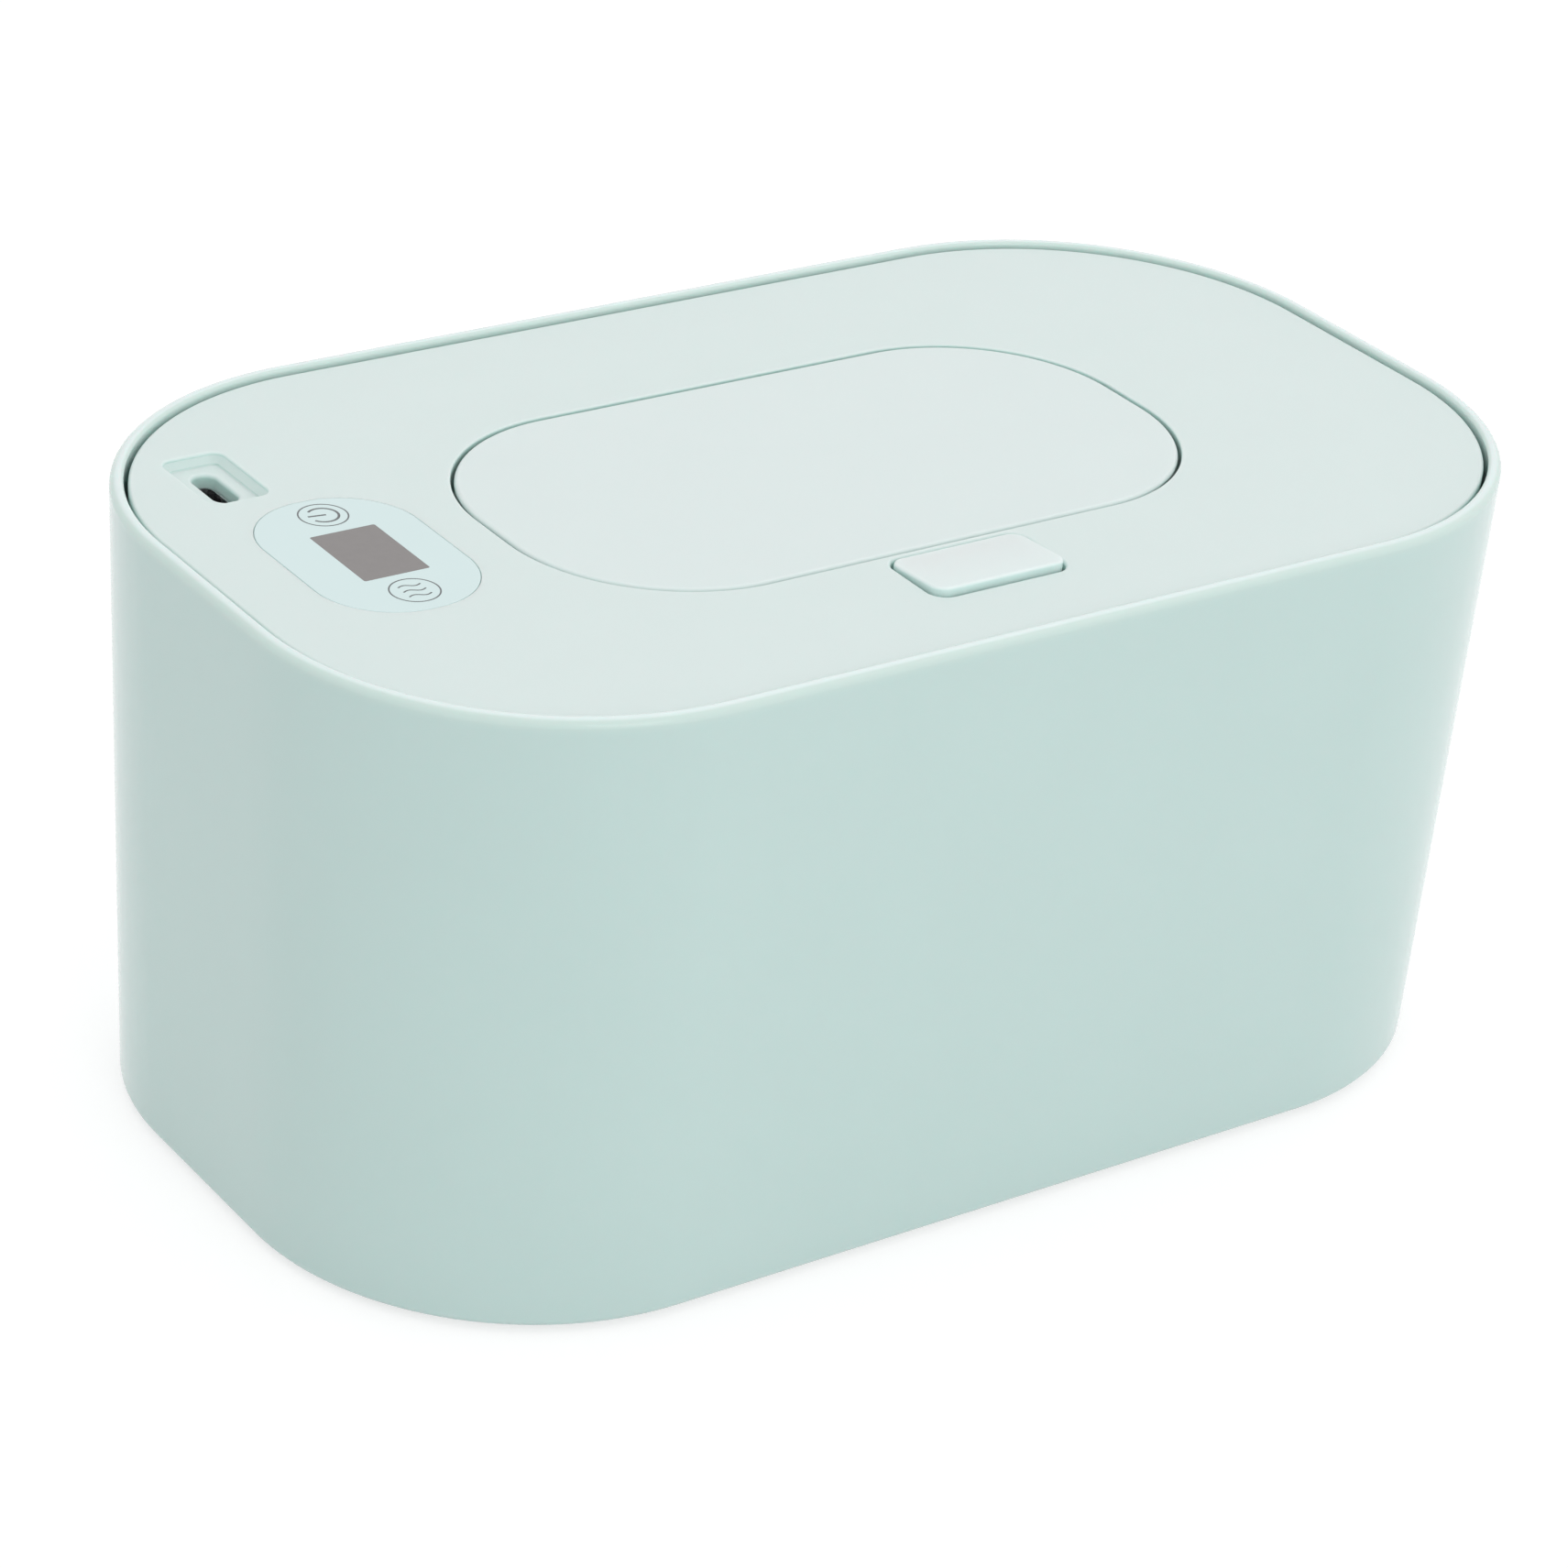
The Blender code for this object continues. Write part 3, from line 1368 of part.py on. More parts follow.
def build():
    remove_everything()
    gloss = principled("gloss_mint", (0.55, 0.69, 0.67), 0.12)
    satin = principled("satin_mint", (0.70, 0.79, 0.78), 0.38)
    inner = principled("inner_white", (0.80, 0.82, 0.81), 0.45)
    film = principled("panel_film", (0.68, 0.82, 0.82), 0.10)
    smoked = principled("smoked_lens", (0.30, 0.28, 0.28), 0.15)
    rubber = principled("soft_silicone", (0.62, 0.66, 0.66), 0.60)
    foam = principled("insulation_foam", (0.75, 0.75, 0.74), 0.90)
    steel = principled("steel", (0.60, 0.60, 0.61), 0.30, 1.0)
    aluminium = principled("warming_plate", (0.76, 0.77, 0.78), 0.35, 1.0)
    amber = principled("heater_film", (0.62, 0.30, 0.06), 0.35)
    board = principled("board_green", (0.03, 0.20, 0.10), 0.45)
    black = principled("black_plastic", (0.02, 0.02, 0.02), 0.40)
    lead = principled("lead_white", (0.78, 0.78, 0.76), 0.45)

    hinge_place = Vector((door_centre_x, hinge_y, hinge_z))
    tub = empty("tub", Vector())
    lid = empty("lid", Vector((0.0, 0.0, lid_z)), tub)
    door = empty("door", hinge_place, lid)
    button = empty("button", Vector((button_centre_x, button_centre_y, cap_top_z)), lid)
    latch = empty("latch", Vector((button_centre_x, slider_front_y, slider_low_z)), lid)

    outer_shell(gloss, tub)
    feet(rubber, steel, tub)
    inner_tub(inner, tub)
    insulation_wrap(foam, tub)

    lid_cover(satin, lid)
    lid_base(inner, lid)
    lid_seal(rubber, lid)
    heater(aluminium, amber, black, lid)
    leads(lead, lid)
    circuit_board(board, black, lid)
    control_panel(film, smoked, black, lid)
    touch_springs(steel, lid)
    socket(steel, black, lid)
    screws(steel, lid)
    hinge(steel, steel, lid)
    button_spring(steel, lid)

    door_panel(satin, door)
    door_inner(inner, door)
    door_seal(rubber, door)
    button_cap(satin, button)
    latch_slider(inner, latch)


build()
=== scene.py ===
import json
import math

import bmesh
import bpy
from mathutils import Matrix, Vector


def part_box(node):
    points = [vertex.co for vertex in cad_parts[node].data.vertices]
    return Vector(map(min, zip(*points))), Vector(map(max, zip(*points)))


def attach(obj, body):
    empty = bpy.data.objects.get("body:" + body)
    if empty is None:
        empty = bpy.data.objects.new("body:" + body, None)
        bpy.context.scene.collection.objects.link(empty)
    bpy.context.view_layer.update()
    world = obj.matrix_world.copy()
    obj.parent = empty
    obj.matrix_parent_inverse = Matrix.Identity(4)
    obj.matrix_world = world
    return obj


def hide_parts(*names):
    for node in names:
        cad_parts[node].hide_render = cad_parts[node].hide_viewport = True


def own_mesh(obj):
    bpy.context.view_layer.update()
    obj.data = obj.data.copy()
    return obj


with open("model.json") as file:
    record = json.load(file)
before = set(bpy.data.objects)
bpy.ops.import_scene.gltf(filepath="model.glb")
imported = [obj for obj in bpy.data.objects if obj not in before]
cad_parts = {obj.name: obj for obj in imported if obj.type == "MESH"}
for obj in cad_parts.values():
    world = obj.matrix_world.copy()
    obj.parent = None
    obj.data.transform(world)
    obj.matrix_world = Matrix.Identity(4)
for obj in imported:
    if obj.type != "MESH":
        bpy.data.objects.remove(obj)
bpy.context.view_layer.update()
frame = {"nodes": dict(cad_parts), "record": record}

# Looks of the wipe warmer: fine surfaces, materials, light and the photograph's camera.
# All lengths are in metres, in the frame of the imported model.

nodes = frame["nodes"]

# Camera of the photograph, found from the outline, the lid's seam and the door's seam
photo_side = 1711
focal_pixels = 5466.99
sensor_width = 36.0
camera_azimuth = math.radians(-36.56)
camera_elevation = math.radians(27.90)
camera_roll = math.radians(4.84)
camera_distance = 0.75262
camera_side_shift = 0.00114
camera_rise = 0.03576
camera_clip = (0.05, 50.0)

# Heights read from the frame
base_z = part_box("outer_shell")[0].z
rim_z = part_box("outer_shell")[1].z
lid_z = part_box("lid_cover")[1].z
skirt_low_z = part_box("lid_cover")[0].z
cap_top_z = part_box("button_cap")[1].z
film_low_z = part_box("control_film")[0].z
hinge_pin_low, hinge_pin_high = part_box("hinge_pin")

# Body
shell_length = 0.2000
shell_width = 0.1192
shell_corner_radius = 0.0451
shell_draft_inset = 0.0027
shell_wall = 0.0020
shell_floor = 0.0024
shell_rim_rounding = 0.0013
shell_rim_inner_rounding = 0.00065
shell_base_rounding = 0.0012
shell_inner_rounding = 0.0020

# Feet
foot_count = 4
foot_radius = 0.0062
foot_seat_depth = 0.0009
foot_rounding = 0.0004
foot_groove_radius = 0.0036
foot_groove_half_width = 0.0005
foot_groove_depth = 0.0002

# Clearances
seat_gap = 0.0003
cut_overrun = 0.0010
joint_overlap = 0.0004
smallest_radius = 0.00003

# Lid
lid_gap = 0.00057
lid_plate = 0.0020
lid_skirt_wall = 0.0016
lid_edge_rounding = 0.00055

# Door and the recess that it closes
door_centre = (-0.00095, -0.00085)
door_length = 0.1081
door_width = 0.0584
door_corner_radius = 0.0250
door_gap = 0.0005
door_thickness = 0.0018
door_rounding = 0.0007
recess_edge_rounding = 0.0003
door_land = 0.0006
door_bevel_inset = 0.0012
door_inner_thickness = 0.0012
door_seal_height = 0.0010
door_ledge_thickness = 0.0015
recess_wall = 0.0015
well_inset = 0.0070
door_stack_gaps = 3

# Hinge and catch
hinge_setback = 0.0080
hinge_drop = 0.0050
arm_band = 0.0020
arm_swing_clearance = 0.00047
arm_place = 0.0220
arm_width = 0.0060
arm_side_gap = 0.0004
ear_thickness = 0.0016
ear_radius = 0.0024
notch_clearance = 0.0006
catch_width = 0.0060
catch_reach_back = 0.00415

# Push button and its pocket: the top is proud at the front and nearly flush at the rear
button_centre = (-0.0008, -0.0383)
button_length = 0.0219
button_width = 0.0114
button_gap = 0.0004
button_corner_radius = 0.0022
button_rounding = 0.0004
button_roof = 0.0013
button_rear_reach = 0.0007
button_rear_drop = 0.00085
button_skirt_wall = 0.0012
button_skirt_depth = 0.0045
pocket_wall = 0.0012
pocket_depth = 0.0069
pocket_rounding = 0.0006

# Return spring under the button: its end turns lie flat
spring_wire_radius = 0.00025
spring_turns = 5
spring_end_turns = 0.75

# Control panel
panel_centre = (-0.0744, 0.00055)
panel_length_x = 0.02375
panel_length_y = 0.0361
panel_corner_radius = 0.0112
film_side_gap = 0.00007
film_rounding = 0.00015
display_centre = (-0.0739, 0.0007)
display_length_x = 0.01006
display_length_y = 0.01487
display_corner_radius = 0.0003
display_join = 0.00001
display_thickness = 0.0010
power_key = (-0.0737, 0.01356)
set_key = (-0.07425, -0.0118)
key_radius = 0.00345
key_line = 0.00022
power_arc_radius = 0.00215
power_arc_opening = math.radians(80)
power_turn = math.radians(-9)
power_bar_back = 0.00042
power_bar_reach = 0.0022
symbol_line = 0.00024
power_line = 0.00036
heat_line_spacing = 0.0015
heat_line_half_length = 0.0017
heat_line_swing = 0.00032
print_height = 0.000012
print_sunk = 0.00004

# Plug recess, as deep as in the photograph (the solid's is 0.5 mm deeper), and its slot
plug_centre = (-0.0811, 0.0304)
plug_length_x = 0.0094
plug_length_y = 0.0152
plug_radius = 0.0018
plug_depth = 0.0016
plug_draft_inset = 0.0008
plug_wall = 0.0012
plug_cup_floor = 0.0030
plug_edge_rounding = 0.0004
plug_floor_rounding = 0.0003
slot_edge_rounding = 0.0006
socket_length = 0.00894
socket_width = 0.00326
socket_clearance = 0.0002

# Numbers of steps round the curved forms
corner_steps = 32
small_corner_steps = 12
round_sides = 48
fillet_steps = 6
swing_steps = 24
coil_steps = 24
wire_sides = 10
sharp_angle = math.radians(32)

# Places that follow from the sizes above
shell_height = rim_z - base_z
inner_floor_z = base_z + shell_floor
door_stack = door_thickness + door_inner_thickness + door_seal_height
ledge_top_z = lid_z - door_stack - door_stack_gaps * seat_gap
ledge_low_z = ledge_top_z - door_ledge_thickness
recess_back_y = door_centre[1] + door_width / 2 + door_gap
hinge_y = recess_back_y + hinge_setback
hinge_z = lid_z - hinge_drop
arm_outer_radius = math.hypot(hinge_setback, hinge_drop) + arm_swing_clearance + arm_band


def around(centre, radius, angle):
    """The point at an angle round a centre."""
    return (centre[0] + radius * math.cos(angle), centre[1] + radius * math.sin(angle))


def outline(length, width, radius, offset, centre, steps=corner_steps):
    """Points of a rounded rectangle moved outwards by offset, anticlockwise from above."""
    grown = max(radius + offset, smallest_radius)
    reach_x = length / 2 + offset - grown
    reach_y = width / 2 + offset - grown
    points = []
    for corner, (side_x, side_y) in enumerate(((1, 1), (-1, 1), (-1, -1), (1, -1))):
        middle = (centre[0] + side_x * reach_x, centre[1] + side_y * reach_y)
        for step in range(steps + 1):
            points.append(around(middle, grown, math.pi / 2 * (corner + step / steps)))
    return points


def shell_outline(z, inset):
    """The body's outside at height z, moved inwards: the body narrows towards its base."""
    draft = shell_draft_inset * (rim_z - z) / shell_height
    return outline(shell_length, shell_width, shell_corner_radius, -inset - draft, (0.0, 0.0))


def lid_outline(z, inset):
    return shell_outline(z, shell_wall + lid_gap + inset)


def door_outline(offset):
    return outline(door_length, door_width, door_corner_radius, offset, door_centre)


def panel_outline(offset):
    return outline(panel_length_x, panel_length_y, panel_corner_radius, offset, panel_centre)


def display_outline(offset):
    return outline(
        display_length_x, display_length_y, display_corner_radius, offset, display_centre
    )


def plug_outline(offset):
    return outline(
        plug_length_x, plug_length_y, plug_radius, offset, plug_centre, small_corner_steps
    )


def socket_outline(offset):
    return outline(
        socket_width, socket_length, socket_width / 2, offset, plug_centre, small_corner_steps
    )


def button_outline(offset, reach=button_rear_reach):
    """The button from above: its rear edge reaches back to the strip in front of the door."""
    return outline(
        button_length,
        button_width + reach,
        button_corner_radius,
        offset,
        (button_centre[0], button_centre[1] + reach / 2),
        small_corner_steps,
    )


def circle(centre, radius, sides=round_sides):
    return [around(centre, radius, math.tau * side / sides) for side in range(sides)]


def quarter_round(radius):
    """Steps of a rounded edge: inset from the wall and distance from the flat, flat first."""
    angles = [math.pi / 2 * step / fillet_steps for step in range(fillet_steps + 1)]
    return [(radius * (1 - math.sin(angle)), radius * (1 - math.cos(angle))) for angle in angles]


def skin(rows, ring=False):
    """A closed form through rows of as many points: capped, or a ring from last to first."""
    shape = bmesh.new()
    rows = [[shape.verts.new(point) for point in row] for row in rows]
    pairs = list(zip(rows, rows[1:]))
    if ring:
        pairs.append((rows[-1], rows[0]))
    for start, end in pairs:
        for index in range(len(start)):
            follower = (index + 1) % len(start)
            shape.faces.new((start[index], start[follower], end[follower], end[index]))
    if not ring:
        shape.faces.new(rows[0])
        shape.faces.new(rows[-1])
    return shape


def loft(levels, ring=False):
    """A closed form through level outlines, each with its height."""
    return skin([[(x, y, z) for x, y in points] for points, z in levels], ring)


def prism(points, low, high, axis="Z"):
    """An outline pushed along an axis: (x, y) along Z, or (y, z) along X."""
    if axis == "Z":
        return loft([(points, low), (points, high)])
    return skin([[(x, y, z) for y, z in points] for x in (low, high)])


def block(low, high):
    """A box between two opposite corners."""
    corners = [(low[0], low[1]), (high[0], low[1]), (high[0], high[1]), (low[0], high[1])]
    return prism(corners, low[2], high[2])


def joined(shapes):
    """Several shapes in one mesh, each with its faces pointing out."""
    whole = bmesh.new()
    for shape in shapes:
        bmesh.ops.recalc_face_normals(shape, faces=shape.faces)
        part_mesh = bpy.data.meshes.new("part")
        shape.to_mesh(part_mesh)
        shape.free()
        whole.from_mesh(part_mesh)
        bpy.data.meshes.remove(part_mesh)
    return whole


def combined(shape, others, operation):
    """Exact union with, or difference from, a list of shapes."""
    meshes = []
    for source in (joined([shape]), joined(others)):
        mesh = bpy.data.meshes.new("operand")
        source.to_mesh(mesh)
        source.free()
        meshes.append(mesh)
    base, tool = (bpy.data.objects.new("operand", mesh) for mesh in meshes)
    for operand in (base, tool):
        bpy.context.scene.collection.objects.link(operand)
    modifier = base.modifiers.new("combine", "BOOLEAN")
    modifier.operation = operation
    modifier.solver = "EXACT"
    modifier.use_self = True
    modifier.object = tool
    bpy.context.view_layer.update()
    evaluated = base.evaluated_get(bpy.context.evaluated_depsgraph_get())
    result = bmesh.new()
    result.from_mesh(evaluated.to_mesh())
    evaluated.to_mesh_clear()
    for operand in (base, tool):
        bpy.data.objects.remove(operand)
    for mesh in meshes:
        bpy.data.meshes.remove(mesh)
    return result


def with_added(shape, others):
    return combined(shape, others, "UNION")


def with_cut(shape, others):
    return combined(shape, others, "DIFFERENCE")


def piece(name, shape, material, body, stands_for=()):
    """A finished piece that rides on a body and stands for CAD nodes."""
    bmesh.ops.recalc_face_normals(shape, faces=shape.faces)
    mesh = bpy.data.meshes.new(name)
    shape.to_mesh(mesh)
    shape.free()
    mesh.shade_smooth()
    mesh.set_sharp_from_angle(angle=sharp_angle)
    mesh.materials.append(material)
    made = bpy.data.objects.new(name, mesh)
    bpy.context.scene.collection.objects.link(made)
    even = made.modifiers.new("even_shading", "WEIGHTED_NORMAL")
    even.keep_sharp = True
    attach(made, body)
    if stands_for:
        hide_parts(*stands_for)
    return made


class Finish:
    """A Principled material with helpers for the details that its surface shows."""

    def __init__(self, name, colour, roughness, metallic=0.0):
        self.material = bpy.data.materials.new(name)
        self.material.use_nodes = True
        self.tree = self.material.node_tree
        self.shader = self.tree.nodes["Principled BSDF"]
        self.colour = colour
        self.roughness = roughness
        self.shader.inputs["Base Color"].default_value = (*colour, 1.0)
        self.shader.inputs["Roughness"].default_value = roughness
        self.shader.inputs["Metallic"].default_value = metallic
        coordinates = self.tree.nodes.new("ShaderNodeTexCoord")
        self.place = coordinates.outputs["Object"]
        self.facing = coordinates.outputs["Normal"]

    def new(self, kind):
        return self.tree.nodes.new(kind)

    def link(self, source, target):
        self.tree.links.new(source, target)

    def noise(self, size, detail=2.0):
        """Noise whose lumps are about size across."""
        texture = self.new("ShaderNodeTexNoise")
        texture.inputs["Scale"].default_value = 1.0 / size
        texture.inputs["Detail"].default_value = detail
        self.link(self.place, texture.inputs["Vector"])
        return texture.outputs["Fac"]

    def ranged(self, value, low, high, start=0.0, end=1.0, smooth=False):
        """A value mapped from start..end to low..high."""
        mapping = self.new("ShaderNodeMapRange")
        mapping.interpolation_type = "SMOOTHSTEP" if smooth else "LINEAR"
        mapping.inputs["From Min"].default_value = start
        mapping.inputs["From Max"].default_value = end
        mapping.inputs["To Min"].default_value = low
        mapping.inputs["To Max"].default_value = high
        self.link(value, mapping.inputs["Value"])
        return mapping.outputs["Result"]

    def facing_up(self, start, end):
        """0 where the surface's normal rises by start or less, 1 where it rises by end or more."""
        axes = self.new("ShaderNodeSeparateXYZ")
        self.link(self.facing, axes.inputs["Vector"])
        return self.ranged(axes.outputs["Z"], 0.0, 1.0, start, end)

    def blended(self, factor, first, second):
        """A colour between two colours, each a triple or another colour output."""
        mix = self.new("ShaderNodeMix")
        mix.data_type = "RGBA"
        self.link(factor, mix.inputs["Factor"])
        for name, colour in (("A", first), ("B", second)):
            socket = [s for s in mix.inputs if s.name == name and s.type == "RGBA"][0]
            if isinstance(colour, tuple):
                socket.default_value = (*colour, 1.0)
            else:
                self.link(colour, socket)
        return [s for s in mix.outputs if s.type == "RGBA"][0]

    def mottled(self, size, share):
        """Slight unevenness of the pigment."""
        darker = tuple(channel * (1 - share) for channel in self.colour)
        lighter = tuple(min(1.0, channel * (1 + share)) for channel in self.colour)
        return self.blended(self.noise(size), darker, lighter)

    def paint(self, colour):
        """Takes the base colour from a node."""
        self.link(colour, self.shader.inputs["Base Color"])

    def uneven_gloss(self, size, share):
        """Roughness that varies by share either way."""
        low = self.roughness * (1 - share)
        high = self.roughness * (1 + share)
        self.link(self.ranged(self.noise(size), low, high), self.shader.inputs["Roughness"])

    def translucent(self, depth, gloss_level=0.5):
        """Light enters the plastic and leaves it again up to about depth away."""
        self.shader.inputs["Subsurface Weight"].default_value = 1.0
        self.shader.inputs["Subsurface Radius"].default_value = self.colour
        self.shader.inputs["Subsurface Scale"].default_value = depth
        self.shader.inputs["Specular IOR Level"].default_value = gloss_level

    def grain(self, size, depth, detail=2.0):
        """Fine bumps about size across."""
        bump = self.new("ShaderNodeBump")
        bump.inputs["Strength"].default_value = 1.0
        bump.inputs["Distance"].default_value = depth
        self.link(self.noise(size, detail), bump.inputs["Height"])
        self.link(bump.outputs["Normal"], self.shader.inputs["Normal"])


def gloss_finish():
    """Gloss mint with painted light: a painted glow pales the mint towards the thin, translucent
    rim, and a painted highlight lies on the faces that look up, such as the rim's crest.
    """
    side = (0.588, 0.735, 0.711)
    # Painted glow: the rim colour pales the mint within the painted glow depth below the rim.
    rim = (0.650, 0.760, 0.725)
    # Painted highlight: faces that look up, such as the rim's crest, take this paler colour.
    painted_crest_highlight = (0.752, 0.836, 0.830)
    finish = Finish("mint_gloss", side, roughness=0.13)
    axes = finish.new("ShaderNodeSeparateXYZ")
    finish.link(finish.place, axes.inputs["Vector"])
    painted_glow_depth = 0.0022
    factor = finish.ranged(axes.outputs["Z"], 0.0, 1.0, rim_z - painted_glow_depth, rim_z, smooth=True)
    pigment_with_painted_glow = finish.blended(factor, finish.mottled(size=0.02, share=0.012), rim)
    finish.paint(finish.blended(finish.facing_up(start=0.80, end=0.97), pigment_with_painted_glow, painted_crest_highlight))
    finish.uneven_gloss(size=0.03, share=0.10)
    finish.translucent(depth=0.0015, gloss_level=0.28)
    finish.grain(size=0.004, depth=0.0000012)
    return finish.material


def satin_finish(name, colour, wall):
    """Satin mint with painted light: paler where it faces up, as lit, and a deeper mint on its
    walls, as painted shade.
    """
    finish = Finish(name, colour, roughness=0.42)
    pigment = finish.mottled(size=0.012, share=0.010)
    # Painted light: the walls take the shaded wall colour, and the faces that look up take the
    # lit, paler one.
    finish.paint(finish.blended(finish.facing_up(start=0.10, end=0.95), wall, pigment))
    finish.uneven_gloss(size=0.006, share=0.12)
    finish.translucent(depth=0.0012)
    finish.grain(size=0.00022, depth=0.0000030, detail=4.0)
    return finish.material


def film_finish():
    """Glossy pale film of the control panel."""
    finish = Finish("overlay_film", (0.671, 0.816, 0.816), roughness=0.11)
    finish.paint(finish.mottled(size=0.006, share=0.006))
    finish.uneven_gloss(size=0.004, share=0.15)
    finish.grain(size=0.0012, depth=0.0000006)
    return finish.material


def display_finish():
    """Smoked window with nothing lit behind it."""
    finish = Finish("smoked_window", (0.217, 0.202, 0.198), roughness=0.24)
    finish.paint(finish.mottled(size=0.0012, share=0.05))
    finish.uneven_gloss(size=0.002, share=0.15)
    return finish.material


def print_finish():
    """Grey ink of the lines on the touch keys."""
    finish = Finish("printed_line", (0.115, 0.125, 0.130), roughness=0.35)
    finish.paint(finish.mottled(size=0.0004, share=0.12))
    return finish.material


def moulded_finish(name, colour, roughness, grain_size=0.0004, grain_depth=0.000004):
    """Plain moulding, film or rubber with a fine grain."""
    finish = Finish(name, colour, roughness)
    finish.paint(finish.mottled(size=0.010, share=0.012))
    finish.uneven_gloss(size=0.005, share=0.12)
    finish.grain(grain_size, grain_depth, detail=3.0)
    return finish.material


def metal_finish(name, colour, roughness):
    """Metal whose colour and polish vary a little."""
    finish = Finish(name, colour, roughness, metallic=1.0)
    finish.paint(finish.mottled(size=0.003, share=0.04))
    finish.uneven_gloss(size=0.002, share=0.25)
    finish.grain(size=0.0006, depth=0.000002, detail=3.0)
    return finish.material


def foam_finish():
    """Closed cells on the foam sleeve."""
    cell_size = 0.0008
    cell_depth = 0.0002
    finish = Finish("closed_cell_foam", (0.75, 0.75, 0.74), roughness=0.90)
    cells = finish.new("ShaderNodeTexVoronoi")
    cells.inputs["Scale"].default_value = 1.0 / cell_size
    finish.link(finish.place, cells.inputs["Vector"])
    bump = finish.new("ShaderNodeBump")
    bump.inputs["Distance"].default_value = cell_depth
    finish.link(cells.outputs["Distance"], bump.inputs["Height"])
    finish.link(bump.outputs["Normal"], finish.shader.inputs["Normal"])
    return finish.material


def make_finishes():
    """A material for each slot of the record, and for the button and the printed lines."""
    made = {
        "shell": gloss_finish(),
        "panel_film": film_finish(),
        "display": display_finish(),
        "print": print_finish(),
        "foam": foam_finish(),
    }
    # Slot: name, colour where it faces up (paler, as lit), colour of the walls (deeper mint, as
    # painted shade)
    satins = {
        "lid": ("mint_satin", (0.708, 0.803, 0.787), (0.570, 0.740, 0.703)),
        # The door's paler copy of the lid's mint is painted light, where more light falls.
        "door": ("mint_satin_door", (0.729, 0.812, 0.802), (0.640, 0.785, 0.755)),
        "button": ("mint_satin_button", (0.765, 0.848, 0.840), (0.660, 0.800, 0.775)),
    }
    # Slot: name, colour, roughness, and for some the size and depth of the grain
    mouldings = {
        "liner": ("liner_white", (0.80, 0.82, 0.81), 0.42),
        "silicone": ("soft_silicone", (0.62, 0.66, 0.66), 0.62, 0.0003, 0.000008),
        "heater_film": ("amber_film", (0.55, 0.24, 0.04), 0.28, 0.002, 0.00001),
        "board": ("solder_mask", (0.03, 0.20, 0.10), 0.34, 0.0012, 0.00001),
        "black_plastic": ("black_moulding", (0.022, 0.022, 0.023), 0.42),
        "lead": ("lead_cover", (0.78, 0.78, 0.76), 0.48, 0.0010, 0.00001),
    }
    # Slot: name, colour, roughness
    metals = {
        "aluminium": ("satin_aluminium", (0.76, 0.77, 0.78), 0.34),
        "steel": ("plated_steel", (0.60, 0.60, 0.61), 0.26),
    }
    for maker, table in (
        (satin_finish, satins),
        (moulded_finish, mouldings),
        (metal_finish, metals),
    ):
        for slot, values in table.items():
            made[slot] = maker(*values)
    return made


def dress_cad_nodes(finishes):
    """Every CAD node gets its slot's finish and smooth shading between its sharp edges."""
    for entry in frame["record"]["subparts"]:
        mesh = nodes[entry["node"]].data
        mesh.materials.clear()
        mesh.materials.append(finishes[entry["material_slot"]])
        mesh.shade_smooth()
        mesh.set_sharp_from_angle(angle=sharp_angle)


def foot_places():
    """The middle of each foot, with its node's name."""
    places = []
    for number in range(1, foot_count + 1):
        low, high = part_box(f"foot_{number}")
        middle = (low + high) / 2
        places.append((f"foot_{number}", (middle.x, middle.y)))
    return places


def body_shell(finish):
    """Drafted tub with a rounded rim and seats for the feet."""
    levels = []
    for inset, rise in quarter_round(shell_base_rounding):
        levels.append((shell_outline(base_z + rise, inset), base_z + rise))
    for inset, drop in reversed(quarter_round(shell_rim_rounding)):
        levels.append((shell_outline(rim_z - drop, inset), rim_z - drop))
    for inset, drop in quarter_round(shell_rim_inner_rounding):
        levels.append((shell_outline(rim_z - drop, shell_wall - inset), rim_z - drop))
    for inset, rise in reversed(quarter_round(shell_inner_rounding)):
        z = inner_floor_z + rise
        levels.append((shell_outline(z, shell_wall + inset), z))
    seats = []
    seat_top_z = base_z + foot_seat_depth
    for _, place in foot_places():
        seat = circle(place, foot_radius + seat_gap)
        seats.append(prism(seat, base_z - cut_overrun, seat_top_z))
    shape = with_cut(loft(levels), seats)
    piece("body_shell", shape, finish, "tub", ["outer_shell"])


def feet(finish):
    """Soft pads: rounded lower edge and a ring groove underneath."""
    top_z = base_z + foot_seat_depth - seat_gap
    for name, place in foot_places():
        levels = [(circle(place, foot_radius), top_z)]
        for inset, rise in reversed(quarter_round(foot_rounding)):
            levels.append((circle(place, foot_radius - inset), rise))
        for side, height in ((1, 0.0), (0, foot_groove_depth), (-1, 0.0)):
            radius = foot_groove_radius + side * foot_groove_half_width
            levels.append((circle(place, radius), height))
        piece(f"pad_{name}", loft(levels), finish, "tub", [name])


def ear_starts():
    """Where each hinge ear begins along X: one on either side of each arm."""
    reach = arm_width / 2 + arm_side_gap
    starts = []
    for side in (-1, 1):
        middle = door_centre[0] + side * arm_place
        starts.append(middle - reach - ear_thickness)
        starts.append(middle + reach)
    return starts


def ear_outline():
    """Side view of a hinge ear: straight down from the plate, round at the pin."""
    top_z = lid_z - lid_plate + joint_overlap
    points = [(hinge_y + ear_radius, top_z), (hinge_y - ear_radius, top_z)]
    for step in range(swing_steps + 1):
        angle = math.pi * (1 + step / swing_steps)
        points.append(around((hinge_y, hinge_z), ear_radius, angle))
    return points


def softened_cutter(shape_outline, radius, floor_z):
    """A cutter for a recess whose upper edge is rounded outwards."""
    levels = [(shape_outline(0.0), floor_z)]
    for inset, drop in reversed(quarter_round(radius)):
        levels.append((shape_outline(inset), lid_z - drop))
    levels.append((shape_outline(radius), lid_z + cut_overrun))
    return loft(levels)


